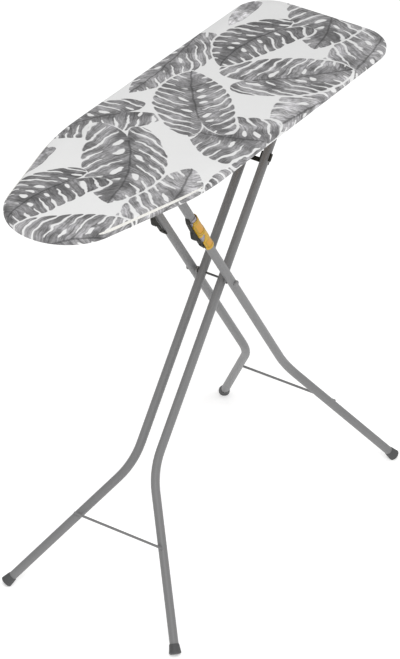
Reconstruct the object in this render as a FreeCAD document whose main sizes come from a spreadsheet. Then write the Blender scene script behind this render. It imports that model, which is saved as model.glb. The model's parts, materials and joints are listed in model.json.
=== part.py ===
"""Folding ironing board: a padded board on crossed pairs of splayed steel tubes.

Row frame, in millimetres: +X runs from the nose to the tail of the board, +Y to its left, +Z up.
The origin is on the floor, under the middle of the whole object.

Every leg piece is drawn in a leg frame: its origin is the pivot of the crossed legs, local X runs
up along the leg, local Y is the row's Y, and local Z is square to the leg. Board pieces are drawn
with X counted from the pivot and Z counted from the floor.
"""

import FreeCAD, Part
import math
import os

import Sketcher

DOC = FreeCAD.newDocument("ironing_board")

DIMENSIONS = {
    # stance
    "pivot_x": 88.97,
    "pivot_height": 530.0,
    "leg_lean": 35.5,
    "hinge_height": 835.0,
    # board outline
    "board_height": 895.0,
    "board_half_width": 151.0,
    "tail_x": 363.0,
    "nose_x": -561.0,
    "nose_radius": 102.0,
    "taper_angle": 14.2,
    "tail_radius": 70.0,
    "shoulder_radius": 500.0,
    # board layers
    "cover_thickness": 1.2,
    "cover_drop": 16.4,
    "cover_edge_radius": 3.5,
    "hem_width": 26.0,
    "layer_gap": 0.2,
    "pad_inset": 2.2,
    "pad_thickness": 5.6,
    "pad_edge_radius": 3.5,
    "panel_thickness": 8.0,
    "panel_inset": 2.5,
    # leg tubes
    "tube_radius": 8.0,
    "tube_wall": 1.2,
    "inner_offset": 20.75,
    "outer_offset": 40.6,
    "inner_bend": 29.5,
    "outer_bend": 27.0,
    "inner_splay_height": 236.4,
    "outer_splay_height": 247.1,
    "bend_radius": 147.0,
    "leg_top_margin": 12.0,
    # foot caps
    "foot_standoff": 7.0,
    "foot_length": 17.5,
    "foot_mouth_radius": 9.0,
    "foot_end_radius": 11.0,
    "foot_sole": 5.5,
    "foot_chamfer": 1.5,
    # crossbars
    "crossbar_radius": 2.3,
    "crossbar_height": 138.0,
    "inner_bar_half": 93.5,
    "outer_bar_half": 104.0,
    # pivot of the crossed legs
    "pivot_rod_radius": 2.0,
    "running_gap": 0.05,
    "push_gap": 0.02,
    "pivot_rod_half": 51.2,
    "spacer_radius": 6.5,
    "side_gap": 0.3,
    "pivot_cap_radius": 5.8,
    "pivot_cap_height": 3.6,
    "pivot_cap_dimple": 1.3,
    "pivot_cap_chamfer": 1.4,
    "pivot_dimple_depth": 0.5,
    # tail hinge
    "axle_radius": 4.0,
    "axle_half": 35.5,
    "axle_cap_radius": 6.5,
    "axle_cap_height": 4.0,
    "bracket_inner_y": 29.6,
    "bracket_ear_radius": 10.0,
    "bracket_ear_half": 15.0,
    "bracket_flange_half": 24.0,
    "bracket_screw_inset": 15.6,
    "bracket_screw_reach": 14.9,
    "bracket_flange_width": 24.0,
    "sheet_thickness": 1.5,
    # guide rails and catch strip under the nose half
    "rail_front_x": -365.0,
    "rail_back_x": -186.0,
    "rail_web_y": 61.0,
    "rail_lip_width": 9.5,
    "rail_foot_width": 11.5,
    "rail_end_margin": 16.0,
    "slide_cap_radius": 6.0,
    "slide_cap_inner_y": 51.0,
    "slide_cap_outer_y": 60.6,
    "slide_rod_half": 58.5,
    "slide_gap": 0.3,
    "strip_height": 858.0,
    "strip_half_width": 10.0,
    "strip_foot_width": 14.0,
    "strip_slot_pitch": 22.0,
    "strip_slot_length": 12.0,
    "strip_slot_width": 7.0,
    # screws under the board
    "screw_radius": 1.8,
    "screw_hole_radius": 2.1,
    "screw_head_radius": 3.8,
    "screw_head_height": 2.2,
    "screw_length": 6.5,
    # black fittings on the tubes
    "saddle_start": 150.0,
    "saddle_end": 258.0,
    "saddle_foot": 12.0,
    "saddle_half_width": 3.5,
    "saddle_underside": 11.0,
    "saddle_face": 13.8,
    "saddle_toe": 4.0,
    "saddle_shoulder": 13.1,
    "saddle_lead": 18.0,
    "saddle_tail_height": 12.6,
    "saddle_tip": 3.0,
    "saddle_tip_height": 9.9,
    "rivet_setback": 21.0,
    "tooth_start": 194.0,
    "tooth_length": 22.0,
    "tooth_height": 20.5,
    "tooth_rise": 2.2,
    "tooth_rise_height": 16.4,
    "tooth_crown": 4.4,
    "tooth_crown_height": 19.5,
    "tooth_middle": 11.0,
    "tooth_root_height": 16.6,
    "tooth_heel": 25.3,
    "tooth_heel_height": 14.5,
    "rivet_radius": 1.8,
    "rivet_height": 1.2,
    "rivet_pitch": 18.0,
    "spreader_start": 215.5,
    "spreader_length": 8.5,
    "spreader_half_width": 24.0,
    "spreader_low": 15.0,
    "spreader_high": 7.5,
    "clip_start": 222.0,
    "clip_end": 236.0,
    "clip_radius": 10.8,
    "clip_lip": 3.0,
    # release grip and catch
    "grip_start": 146.0,
    "grip_end": 243.0,
    "grip_inner_radius": 9.2,
    "grip_outer_radius": 10.6,
    "grip_slot_half_width": 3.9,
    "grip_slot_end": 176.0,
    "grip_slope_start": 221.0,
    "grip_slope_depth": 6.5,
    "liner_inner_radius": 8.35,
    "liner_outer_radius": 9.15,
    "liner_start": 150.0,
    "liner_end": 241.0,
    "liner_tab_end": 250.0,
    "liner_tab_low": -3.5,
    "liner_tab_high": 6.4,
    "grip_pin_radius": 1.6,
    "grip_pin_position": 194.0,
    "grip_travel": 10.0,
    "low_band_start": 153.0,
    "low_band_end": 172.0,
    "high_band_start": 205.0,
    "high_band_end": 233.0,
    "band_depth": 0.5,
    "window_toe": 21.2,
    "window_toe_height": 3.5,
    "window_low": 15.9,
    "window_low_height": 0.5,
    "window_back": 5.3,
    "window_back_height": 9.5,
    "window_front": 14.8,
    "window_front_height": 8.5,
    "cut_margin": 1.2,
    "shuttle_radius": 6.3,
    "shuttle_half": 8.0,
    "pull_rod_radius": 1.5,
    "rod_room": 0.1,
    "bolt_radius": 2.5,
    "bolt_start": 389.0,
    "bolt_end": 401.0,
    "plug_stub": 7.0,
    "plug_head": 1.5,
    "stop_start": 130.0,
    "stop_length": 8.0,
    "spring_length": 34.0,
    "spring_radius": 4.8,
    "spring_wire_radius": 0.8,
    "spring_pitch": 5.5,
}

LEVEL_TOLERANCE = 0.05
FLOOR_BLOCK = 1600.0
FLOOR_DEPTH = 40.0
RACK_SLOTS = 6
RAIL_SCREWS = 3
STRIP_SCREWS = 3

HINGE_REACH = "((dims.hinge_height - dims.pivot_height) / cos(dims.leg_lean))"
FOOT_REACH = "(dims.pivot_height / cos(dims.leg_lean))"
HINGE_X = "((dims.hinge_height - dims.pivot_height) * tan(dims.leg_lean))"
PANEL_BOTTOM = (
    "(dims.board_height - dims.cover_thickness - dims.layer_gap"
    " - dims.pad_thickness - dims.panel_thickness)"
)
COVER_BOTTOM = "(dims.board_height - dims.cover_drop)"
FLANGE_BOTTOM = f"({PANEL_BOTTOM} - dims.sheet_thickness)"
TUBE_TOP = f"({HINGE_REACH} + dims.leg_top_margin)"
TUBE_BORE = "(dims.tube_radius - dims.tube_wall)"


def make_sheet():
    sheet = DOC.addObject("Spreadsheet::Sheet", "dims")
    for row, (alias, size) in enumerate(DIMENSIONS.items(), start=1):
        sheet.set(f"A{row}", alias)
        sheet.set(f"B{row}", str(size))
        sheet.setAlias(f"B{row}", alias)
    DOC.recompute()
    return sheet


SHEET = make_sheet()


def size_of(expression):
    """The number that an expression of the sheet gives now."""
    result = SHEET.evalExpression(expression)
    return float(getattr(result, "Value", result))


# ---------------------------------------------------------------- sketches and features


def new_body(name, frame="board"):
    """A body in one of the three frames: board, inner legs or outer legs."""
    body = DOC.addObject("PartDesign::Body", name)
    body.Label = name
    if frame == "board":
        body.setExpression("Placement.Base.x", "dims.pivot_x")
        return body
    sign = {"inner": "-", "outer": "+"}[frame]
    turn = f"90 {sign} dims.leg_lean"
    tilt = FreeCAD.Rotation(FreeCAD.Vector(0, -1, 0), size_of(turn))
    body.Placement = FreeCAD.Placement(FreeCAD.Vector(), tilt)
    body.setExpression("Placement.Base.x", "dims.pivot_x")
    body.setExpression("Placement.Base.z", "dims.pivot_height")
    body.setExpression("Placement.Rotation.Angle", turn)
    return body


def new_sketch(body, plane, offset=None):
    """A sketch on one of the body's own origin planes, moved along that plane's normal."""
    sketch = body.newObject("Sketcher::SketchObject", f"{body.Name}_sketch")
    support = next(f for f in body.Origin.OriginFeatures if f.Role == plane)
    sketch.AttachmentSupport = [(support, "")]
    sketch.MapMode = "FlatFace"
    if offset is not None:
        sketch.setExpression("AttachmentOffset.Base.z", offset)
    return sketch


def bind(sketch, kind, places, expression):
    """Adds one dimension to a sketch and ties it to the sheet."""
    constraint = Sketcher.Constraint(kind, *places, size_of(expression))
    index = sketch.addConstraint(constraint)
    sketch.setExpression(f"Constraints[{index}]", expression)


def pin_point(sketch, geometry, vertex, point):
    """Fixes a vertex by its two distances from the sketch's origin."""
    for kind, expression in zip(("DistanceX", "DistanceY"), point):
        bind(sketch, kind, (-1, 1, geometry, vertex), expression)


def vector_of(point):
    return FreeCAD.Vector(size_of(point[0]), size_of(point[1]), 0)


def add_arc(sketch, start, end, centre):
    """An arc of under half a turn. Returns its index and which vertices are its start and end."""
    middle, first, last = vector_of(centre), vector_of(start), vector_of(end)
    angles = [math.atan2(p.y - middle.y, p.x - middle.x) for p in (first, last)]
    forward = (angles[1] - angles[0]) % math.tau < math.pi
    if not forward:
        angles.reverse()
    circle = Part.Circle(middle, FreeCAD.Vector(0, 0, 1), (first - middle).Length)
    index = sketch.addGeometry(Part.ArcOfCircle(circle, *angles), False)
    return index, (1, 2) if forward else (2, 1)


def trace(sketch, points, arcs=None, closed=True):
    """Draws a chain of lines and arcs. arcs gives (centre, radius) for a step by its number."""
    arcs = arcs or {}
    count = len(points) if closed else len(points) - 1
    steps = []
    for step in range(count):
        start, end = points[step], points[(step + 1) % len(points)]
        if step in arcs:
            index, ends = add_arc(sketch, start, end, arcs[step][0])
            bind(sketch, "Radius", (index,), arcs[step][1])
            if (step + 1) % count in arcs:
                pin_point(sketch, index, ends[1], end)
        else:
            line = Part.LineSegment(vector_of(start), vector_of(end))
            index, ends = sketch.addGeometry(line, False), (1, 2)
            pin_point(sketch, index, 1, start)
            following = (step + 1) % count if closed else step + 1
            if following in arcs or following == count:
                pin_point(sketch, index, 2, end)
        steps.append((index, ends))
    for step in range(count if closed else count - 1):
        here, after = steps[step], steps[(step + 1) % count]
        joint = Sketcher.Constraint("Coincident", here[0], here[1][1], after[0], after[1][0])
        sketch.addConstraint(joint)


def add_circle(sketch, centre, radius):
    circle = Part.Circle(vector_of(centre), FreeCAD.Vector(0, 0, 1), size_of(radius))
    index = sketch.addGeometry(circle, False)
    pin_point(sketch, index, 3, centre)
    bind(sketch, "Radius", (index,), radius)


def add_rectangle(sketch, low, high):
    trace(sketch, [low, (high[0], low[1]), high, (low[0], high[1])])


def pad(body, sketch, length, back=None):
    """Pads along the sketch's normal, and by back the other way if that is given."""
    feature = body.newObject("PartDesign::Pad", f"{body.Name}_pad")
    feature.Profile = sketch
    feature.setExpression("Length", length)
    if back is not None:
        feature.SideType = "Two sides"
        feature.setExpression("Length2", back)
    DOC.recompute()
    return feature


def pocket(body, sketch, length, reverse=False, both=False):
    """Cuts against the sketch's normal, and stops the script if nothing was removed."""
    before = body.Shape.Volume
    feature = body.newObject("PartDesign::Pocket", f"{body.Name}_pocket")
    feature.Profile = sketch
    feature.Reversed = reverse
    feature.setExpression("Length", length)
    if both:
        feature.SideType = "Symmetric"
    DOC.recompute()
    if not body.Shape.Volume < before:
        raise RuntimeError(f"a pocket of {body.Label} removes nothing")
    return feature


def revolve(body, sketch, axis):
    feature = body.newObject("PartDesign::Revolution", f"{body.Name}_revolution")
    feature.Profile = sketch
    feature.ReferenceAxis = (sketch, [axis])
    feature.Angle = 360.0
    DOC.recompute()
    return feature


def round_edges(body, base, edges, radius):
    feature = body.newObject("PartDesign::Fillet", f"{body.Name}_fillet")
    feature.Base = (base, edges)
    feature.setExpression("Radius", radius)
    DOC.recompute()
    return feature


def edges_at_height(shape, height):
    """The names of the edges that lie flat at one height."""
    names = []
    for number, edge in enumerate(shape.Edges, start=1):
        box = edge.BoundBox
        if max(abs(box.ZMin - height), abs(box.ZMax - height)) < LEVEL_TOLERANCE:
            names.append(f"Edge{number}")
    return names


def mirrored(name, source):
    """The same piece on the other side of the board's middle plane."""
    copy = DOC.addObject("Part::Mirroring", name)
    copy.Label = name
    copy.Source = source
    copy.Normal = FreeCAD.Vector(0, 1, 0)
    DOC.recompute()
    return copy


def grouped(name, *pieces):
    """Identical pieces that share one node."""
    group = DOC.addObject("Part::Compound", name)
    group.Label = name
    group.Links = list(pieces)
    DOC.recompute()
    return group


def pair(name, half):
    """A piece and its mirror image as one node."""
    return grouped(name, half, mirrored(f"{name}_other", half))


def drill_across(body, position, radius):
    """A hole through the leg from side to side, along Y, at a distance up the leg."""
    sketch = new_sketch(body, "XZ_Plane")
    add_circle(sketch, (position, "0"), radius)
    pocket(body, sketch, "4 * dims.outer_offset", both=True)


# ---------------------------------------------------------------- board


def board_outline(sketch, inset):
    """The outline of the board, or one parallel to it, inside it by inset."""
    half_width = f"(dims.board_half_width - {inset})"
    tail = f"(dims.tail_x - {inset})"
    nose_radius = f"(dims.nose_radius - {inset})"
    tail_radius = f"(dims.tail_radius - {inset})"
    shoulder_radius = f"(dims.shoulder_radius - {inset})"
    nose_centre = "(dims.nose_x + dims.nose_radius)"
    nose_end = (
        f"({nose_centre} - {nose_radius} * sin(dims.taper_angle))",
        f"({nose_radius} * cos(dims.taper_angle))",
    )
    corner_x = f"({nose_end[0]} + ({half_width} - {nose_end[1]}) / tan(dims.taper_angle))"
    tangent = f"({shoulder_radius} * tan(dims.taper_angle / 2))"
    taper_end = (
        f"({corner_x} - {tangent} * cos(dims.taper_angle))",
        f"({half_width} - {tangent} * sin(dims.taper_angle))",
    )
    side_start = (f"({corner_x} + {tangent})", half_width)
    side_end = ("(dims.tail_x - dims.tail_radius)", half_width)
    tail_end = (tail, "(dims.board_half_width - dims.tail_radius)")
    left = [nose_end, taper_end, side_start, side_end, tail_end]
    right = [(x, f"(-{y})") for x, y in reversed(left)]
    shoulder_y = f"({half_width} - {shoulder_radius})"
    tail_centre = (side_end[0], tail_end[1])
    arcs = {
        1: ((side_start[0], shoulder_y), shoulder_radius),
        3: (tail_centre, tail_radius),
        5: ((tail_centre[0], f"(-{tail_centre[1]})"), tail_radius),
        7: ((side_start[0], f"(-{shoulder_y})"), shoulder_radius),
        9: ((nose_centre, "0"), nose_radius),
    }
    trace(sketch, left + right, arcs)


def slab(body, inset, bottom, thickness):
    sketch = new_sketch(body, "XY_Plane", bottom)
    board_outline(sketch, inset)
    return pad(body, sketch, thickness)


def evenly(first, last, count):
    """Expressions for places spread evenly between two others."""
    steps = count - 1
    return [f"({first} + (({last}) - ({first})) * {step} / {steps})" for step in range(count)]


def rail_screw_points():
    foot_y = "(dims.rail_web_y + dims.sheet_thickness / 2 + dims.rail_foot_width / 2)"
    first = "(dims.rail_front_x + dims.rail_end_margin)"
    last = "(dims.rail_back_x - dims.rail_end_margin)"
    return [(x, foot_y) for x in evenly(first, last, RAIL_SCREWS)]


def bracket_screw_points():
    middle_y = "(dims.bracket_inner_y + dims.bracket_screw_inset)"
    reach = "dims.bracket_screw_reach"
    return [(f"({HINGE_X} {sign} {reach})", middle_y) for sign in "+-"]


def strip_screw_points():
    foot_y = "(-(dims.outer_offset - dims.strip_half_width - dims.strip_foot_width / 2))"
    first = "(dims.rail_front_x + dims.rail_end_margin)"
    last = "(dims.rail_back_x - dims.rail_end_margin)"
    return [(x, foot_y) for x in evenly(first, last, STRIP_SCREWS)]


def all_screw_points():
    left = rail_screw_points() + bracket_screw_points()
    return left + [(x, f"(-{y})") for x, y in left] + strip_screw_points()


def make_panel():
    body = new_body("board_panel")
    slab(body, "dims.panel_inset", PANEL_BOTTOM, "dims.panel_thickness")
    sketch = new_sketch(body, "XY_Plane", PANEL_BOTTOM)
    for point in all_screw_points():
        add_circle(sketch, point, "dims.screw_radius + dims.running_gap")
    pocket(body, sketch, "dims.screw_length - dims.sheet_thickness + dims.side_gap", reverse=True)
    return body


def make_pad():
    body = new_body("foam_pad")
    bottom = f"({PANEL_BOTTOM} + dims.panel_thickness)"
    layer = slab(body, "dims.pad_inset", bottom, "dims.pad_thickness")
    top = size_of(f"{bottom} + dims.pad_thickness")
    round_edges(body, layer, edges_at_height(layer.Shape, top), "dims.pad_edge_radius")
    return body


def make_cover():
    """A thin cover over the pad, down past the rim and turned in under the panel."""
    body = new_body("fabric_cover")
    layer = slab(body, "0", COVER_BOTTOM, "dims.cover_drop")
    top = size_of("dims.board_height")
    round_edges(body, layer, edges_at_height(layer.Shape, top), "dims.cover_edge_radius")
    hollow = new_sketch(body, "XY_Plane", COVER_BOTTOM)
    board_outline(hollow, "dims.cover_thickness")
    pocket(body, hollow, "dims.cover_drop - dims.cover_thickness", reverse=True)
    hem = new_sketch(body, "XY_Plane", COVER_BOTTOM)
    board_outline(hem, "0")
    board_outline(hem, "dims.hem_width")
    pad(body, hem, "dims.cover_thickness")
    return body


def make_hinge_bracket():
    """An angle bracket: an ear that carries the tail axle and a flange screwed to the panel."""
    body = new_body("hinge_bracket_left")
    outer_y = "(dims.bracket_inner_y + dims.sheet_thickness)"
    ear = new_sketch(body, "XZ_Plane", f"-{outer_y}")
    axle = (HINGE_X, "dims.hinge_height")
    low = (HINGE_X, "(dims.hinge_height - dims.bracket_ear_radius)")
    outline = [
        (f"({HINGE_X} - dims.bracket_ear_half)", PANEL_BOTTOM),
        (f"({HINGE_X} - dims.bracket_ear_radius)", "dims.hinge_height"),
        low,
        (f"({HINGE_X} + dims.bracket_ear_radius)", "dims.hinge_height"),
        (f"({HINGE_X} + dims.bracket_ear_half)", PANEL_BOTTOM),
    ]
    arcs = {step: (axle, "dims.bracket_ear_radius") for step in (1, 2)}
    trace(ear, outline, arcs)
    add_circle(ear, axle, "dims.axle_radius + dims.running_gap")
    pad(body, ear, "dims.sheet_thickness")
    flange = new_sketch(body, "XY_Plane", FLANGE_BOTTOM)
    low_corner = (f"({HINGE_X} - dims.bracket_flange_half)", "dims.bracket_inner_y")
    high_corner = (
        f"({HINGE_X} + dims.bracket_flange_half)",
        "(dims.bracket_inner_y + dims.bracket_flange_width)",
    )
    add_rectangle(flange, low_corner, high_corner)
    for point in bracket_screw_points():
        add_circle(flange, point, "dims.screw_hole_radius")
    pad(body, flange, "dims.sheet_thickness")
    return body


def make_guide_rail():
    """A pressed channel that the end cap of the slide rod runs in."""
    body = new_body("guide_rail_left")
    web = "dims.rail_web_y"
    back = "(dims.rail_web_y + dims.sheet_thickness)"
    lip = "(dims.rail_web_y - dims.rail_lip_width)"
    foot = f"({back} + dims.rail_foot_width)"
    room = "(dims.slide_cap_radius + dims.slide_gap)"
    floor_top = f"(dims.hinge_height - {room})"
    floor_bottom = f"({floor_top} - dims.sheet_thickness)"
    roof_bottom = f"(dims.hinge_height + {room})"
    roof_top = f"({roof_bottom} + dims.sheet_thickness)"
    profile = [
        (lip, floor_bottom),
        (back, floor_bottom),
        (back, FLANGE_BOTTOM),
        (foot, FLANGE_BOTTOM),
        (foot, PANEL_BOTTOM),
        (web, PANEL_BOTTOM),
        (web, roof_top),
        (lip, roof_top),
        (lip, roof_bottom),
        (web, roof_bottom),
        (web, floor_top),
        (lip, floor_top),
    ]
    sketch = new_sketch(body, "YZ_Plane", "dims.rail_front_x")
    trace(sketch, profile)
    pad(body, sketch, "dims.rail_back_x - dims.rail_front_x")
    holes = new_sketch(body, "XY_Plane", PANEL_BOTTOM)
    for point in rail_screw_points():
        add_circle(holes, point, "dims.screw_hole_radius")
    pocket(body, holes, "2 * dims.sheet_thickness")
    return body


def make_catch_strip():
    """A slotted strip over the right outer leg, hung from the panel by a bent edge."""
    body = new_body("catch_strip")
    middle = "(-dims.outer_offset)"
    far = f"({middle} - dims.strip_half_width)"
    near = f"({middle} + dims.strip_half_width)"
    web = f"({near} - dims.sheet_thickness)"
    foot = f"({near} + dims.strip_foot_width)"
    top = "(dims.strip_height + dims.sheet_thickness)"
    profile = [
        (far, "dims.strip_height"),
        (near, "dims.strip_height"),
        (near, FLANGE_BOTTOM),
        (foot, FLANGE_BOTTOM),
        (foot, PANEL_BOTTOM),
        (web, PANEL_BOTTOM),
        (web, top),
        (far, top),
    ]
    sketch = new_sketch(body, "YZ_Plane", "dims.rail_front_x")
    trace(sketch, profile)
    pad(body, sketch, "dims.rail_back_x - dims.rail_front_x")
    slots = new_sketch(body, "XY_Plane", top)
    first = "(-dims.bolt_end * sin(dims.leg_lean))"
    for number in range(RACK_SLOTS):
        slot_x = f"({first} - {number} * dims.strip_slot_pitch)"
        low = (f"({slot_x} - dims.strip_slot_length / 2)", f"({middle} - dims.strip_slot_width / 2)")
        high = (f"({slot_x} + dims.strip_slot_length / 2)", f"({middle} + dims.strip_slot_width / 2)")
        add_rectangle(slots, low, high)
    pocket(body, slots, "2 * dims.sheet_thickness")
    holes = new_sketch(body, "XY_Plane", PANEL_BOTTOM)
    for point in strip_screw_points():
        add_circle(holes, point, "dims.screw_hole_radius")
    pocket(body, holes, "2 * dims.sheet_thickness")
    return body


def make_screws():
    body = new_body("panel_screws")
    body.AllowCompound = True
    head_bottom = f"({FLANGE_BOTTOM} - dims.screw_head_height)"
    heads = new_sketch(body, "XY_Plane", head_bottom)
    for point in all_screw_points():
        add_circle(heads, point, "dims.screw_head_radius")
    head = pad(body, heads, "dims.screw_head_height")
    rims = edges_at_height(head.Shape, size_of(head_bottom))
    round_edges(body, head, rims, "dims.screw_head_height / 2")
    shanks = new_sketch(body, "XY_Plane", FLANGE_BOTTOM)
    for point in all_screw_points():
        add_circle(shanks, point, "dims.screw_radius")
    pad(body, shanks, "dims.screw_length")
    return body


# ---------------------------------------------------------------- leg tubes, feet and bars


def bend_vertex(leg):
    """How far down the leg from the pivot the two straight runs would meet."""
    return f"((dims.{leg}_splay_height - dims.pivot_height) / cos(dims.leg_lean))"


def foot_y(leg):
    drop = f"(dims.{leg}_splay_height / cos(dims.leg_lean))"
    return f"(dims.{leg}_offset + {drop} * tan(dims.{leg}_bend))"


def tube_path(sketch, leg):
    """The tube's centre line: straight, one bend outwards, straight to just above the floor."""
    bend = f"dims.{leg}_bend"
    tangent = f"(dims.bend_radius * tan({bend} / 2))"
    vertex = bend_vertex(leg)
    offset = f"dims.{leg}_offset"
    short = "(dims.foot_standoff + dims.foot_sole)"
    points = [
        (TUBE_TOP, offset),
        (f"({vertex} + {tangent})", offset),
        (f"({vertex} - {tangent} * cos({bend}))", f"({offset} + {tangent} * sin({bend}))"),
        (f"(-{FOOT_REACH} + {short} * cos({bend}))", f"({foot_y(leg)} - {short} * sin({bend}))"),
    ]
    centre = (points[1][0], f"({offset} + dims.bend_radius)")
    trace(sketch, points, {1: (centre, "dims.bend_radius")}, closed=False)


def make_tube(leg, name):
    """A bent steel tube of the left side, drilled for the pivot and for its top rod."""
    body = new_body(name, leg)
    path = new_sketch(body, "XY_Plane")
    tube_path(path, leg)
    ring = new_sketch(body, "YZ_Plane", TUBE_TOP)
    middle = (f"dims.{leg}_offset", "0")
    add_circle(ring, middle, "dims.tube_radius")
    add_circle(ring, middle, TUBE_BORE)
    DOC.recompute()
    pipe = body.newObject("PartDesign::AdditivePipe", f"{name}_pipe")
    pipe.Profile = ring
    pipe.Spine = (path, ["Edge1", "Edge2", "Edge3"])
    DOC.recompute()
    drill_across(body, "0", "dims.pivot_rod_radius + dims.running_gap")
    drill_across(body, HINGE_REACH, "dims.axle_radius + dims.running_gap")
    return body


def make_right_outer_tube(left):
    """The mirrored tube, slotted on its upper side for the pin of the release grip."""
    plain = mirrored("outer_tube_blank", left)
    slot = new_body("grip_slot_cutter", "outer")
    sketch = new_sketch(slot, "XY_Plane", "-2 * dims.tube_radius")
    room = "(dims.grip_pin_radius + dims.side_gap)"
    low = (
        f"(dims.grip_pin_position - dims.grip_travel - {room})",
        f"(-dims.outer_offset - {room})",
    )
    high = (f"(dims.grip_pin_position + {room})", f"(-dims.outer_offset + {room})")
    add_rectangle(sketch, low, high)
    pad(slot, sketch, "2 * dims.tube_radius")
    return cut("outer_leg_tube_right", plain, slot)


def cut(name, base, tool):
    result = DOC.addObject("Part::Cut", name)
    result.Label = name
    result.Base = base
    result.Tool = tool
    DOC.recompute()
    return result


def make_floor_block():
    """Everything under the floor, which the foot caps are trimmed with."""
    block = DOC.addObject("Part::Box", "under_floor")
    block.Length = FLOOR_BLOCK
    block.Width = FLOOR_BLOCK
    block.Height = FLOOR_DEPTH
    corner = FreeCAD.Vector(-FLOOR_BLOCK / 2, -FLOOR_BLOCK / 2, -FLOOR_DEPTH)
    block.Placement.Base = corner
    return block


def make_foot(leg, floor_block):
    """A flared rubber cup over the end of the tube, standing on its lower edge."""
    body = new_body(f"{leg}_foot_blank", leg)
    sketch = new_sketch(body, "XY_Plane")
    heading = f"180 - dims.{leg}_bend"
    turn = FreeCAD.Rotation(FreeCAD.Vector(0, 0, 1), size_of(heading))
    sketch.AttachmentOffset = FreeCAD.Placement(FreeCAD.Vector(), turn)
    sketch.setExpression("AttachmentOffset.Base.x", f"-{FOOT_REACH}")
    sketch.setExpression("AttachmentOffset.Base.y", foot_y(leg))
    sketch.setExpression("AttachmentOffset.Rotation.Angle", heading)
    end = "(-dims.foot_standoff)"
    mouth = f"({end} - dims.foot_length)"
    seat = f"({end} - dims.foot_sole + dims.running_gap)"
    bore = "(dims.tube_radius + dims.running_gap)"
    profile = [
        (mouth, bore),
        (mouth, "dims.foot_mouth_radius"),
        (f"({end} - dims.foot_chamfer)", "dims.foot_end_radius"),
        (end, "(dims.foot_end_radius - dims.foot_chamfer)"),
        (end, "0"),
        (seat, "0"),
        (seat, bore),
    ]
    trace(sketch, profile)
    revolve(body, sketch, "H_Axis")
    return cut(f"{leg}_foot_left", body, floor_block)


def make_crossbar(leg, side):
    """A thin rod across the pair of legs. side is + or -, for the local Z that it lies on."""
    body = new_body(f"{leg}_crossbar", leg)
    sketch = new_sketch(body, "XZ_Plane")
    reach = "((dims.crossbar_height - dims.pivot_height) / cos(dims.leg_lean))"
    centre = (reach, f"({side}(dims.tube_radius + dims.crossbar_radius))")
    add_circle(sketch, centre, "dims.crossbar_radius")
    pad(body, sketch, f"dims.{leg}_bar_half", f"dims.{leg}_bar_half")
    return body


# ---------------------------------------------------------------- pivot, tail hinge and slide


def make_pivot_rod():
    body = new_body("pivot_rod", "inner")
    sketch = new_sketch(body, "XZ_Plane")
    add_circle(sketch, ("0", "0"), "dims.pivot_rod_radius")
    pad(body, sketch, "dims.pivot_rod_half", "dims.pivot_rod_half")
    return body


def make_pivot_spacers():
    """Plain bushes on the pivot rod, between an inner and an outer tube."""
    half = new_body("pivot_spacer_half", "inner")
    start = "(dims.inner_offset + dims.tube_radius + dims.running_gap)"
    end = "(dims.outer_offset - dims.tube_radius - dims.side_gap)"
    sketch = new_sketch(half, "XZ_Plane", f"-{end}")
    add_circle(sketch, ("0", "0"), "dims.spacer_radius")
    add_circle(sketch, ("0", "0"), "dims.pivot_rod_radius + dims.running_gap")
    pad(half, sketch, f"{end} - {start}")
    return pair("pivot_spacers", half)


def make_pivot_caps():
    """Domed caps pressed on the ends of the pivot rod, each with a dimple."""
    half = new_body("pivot_cap_half", "inner")
    sketch = new_sketch(half, "XY_Plane")
    start = "(dims.outer_offset + dims.tube_radius + dims.side_gap)"
    crown = f"({start} + dims.pivot_cap_height)"
    bore = "(dims.pivot_rod_radius + dims.push_gap)"
    seat = "(dims.pivot_rod_half + dims.push_gap)"
    profile = [
        (bore, start),
        ("dims.pivot_cap_radius", start),
        ("dims.pivot_cap_radius", f"({crown} - dims.pivot_cap_chamfer)"),
        ("(dims.pivot_cap_radius - dims.pivot_cap_chamfer)", crown),
        ("dims.pivot_cap_dimple", crown),
        ("0", f"({crown} - dims.pivot_dimple_depth)"),
        ("0", seat),
        (bore, seat),
    ]
    trace(sketch, profile)
    revolve(half, sketch, "V_Axis")
    return pair("pivot_caps", half)


def make_hinge_axle():
    body = new_body("hinge_axle", "inner")
    sketch = new_sketch(body, "XZ_Plane")
    add_circle(sketch, (HINGE_REACH, "0"), "dims.axle_radius")
    pad(body, sketch, "dims.axle_half", "dims.axle_half")
    return body


def make_axle_caps():
    """Push-on caps that keep the tail axle in its brackets."""
    half = new_body("axle_cap_half", "inner")
    inner_y = "(dims.bracket_inner_y + dims.sheet_thickness + dims.side_gap)"
    cap = new_sketch(half, "XZ_Plane", f"-({inner_y} + dims.axle_cap_height)")
    add_circle(cap, (HINGE_REACH, "0"), "dims.axle_cap_radius")
    pad(half, cap, "dims.axle_cap_height")
    bore = new_sketch(half, "XZ_Plane", f"-{inner_y}")
    add_circle(bore, (HINGE_REACH, "0"), "dims.axle_radius + dims.push_gap")
    pocket(half, bore, f"dims.axle_half - {inner_y} + dims.running_gap")
    return pair("hinge_axle_caps", half)


def make_slide_rod():
    """The top rod of the outer legs, cross-drilled for the pull rod of the catch."""
    body = new_body("slide_rod", "outer")
    sketch = new_sketch(body, "XZ_Plane")
    add_circle(sketch, (HINGE_REACH, "0"), "dims.axle_radius")
    pad(body, sketch, "dims.slide_rod_half", "dims.slide_rod_half")
    hole = new_sketch(body, "YZ_Plane", f"{HINGE_REACH} + 2 * dims.axle_radius")
    add_circle(hole, ("(-dims.outer_offset)", "0"), "dims.pull_rod_radius + dims.rod_room")
    pocket(body, hole, "4 * dims.axle_radius")
    return body


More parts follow.
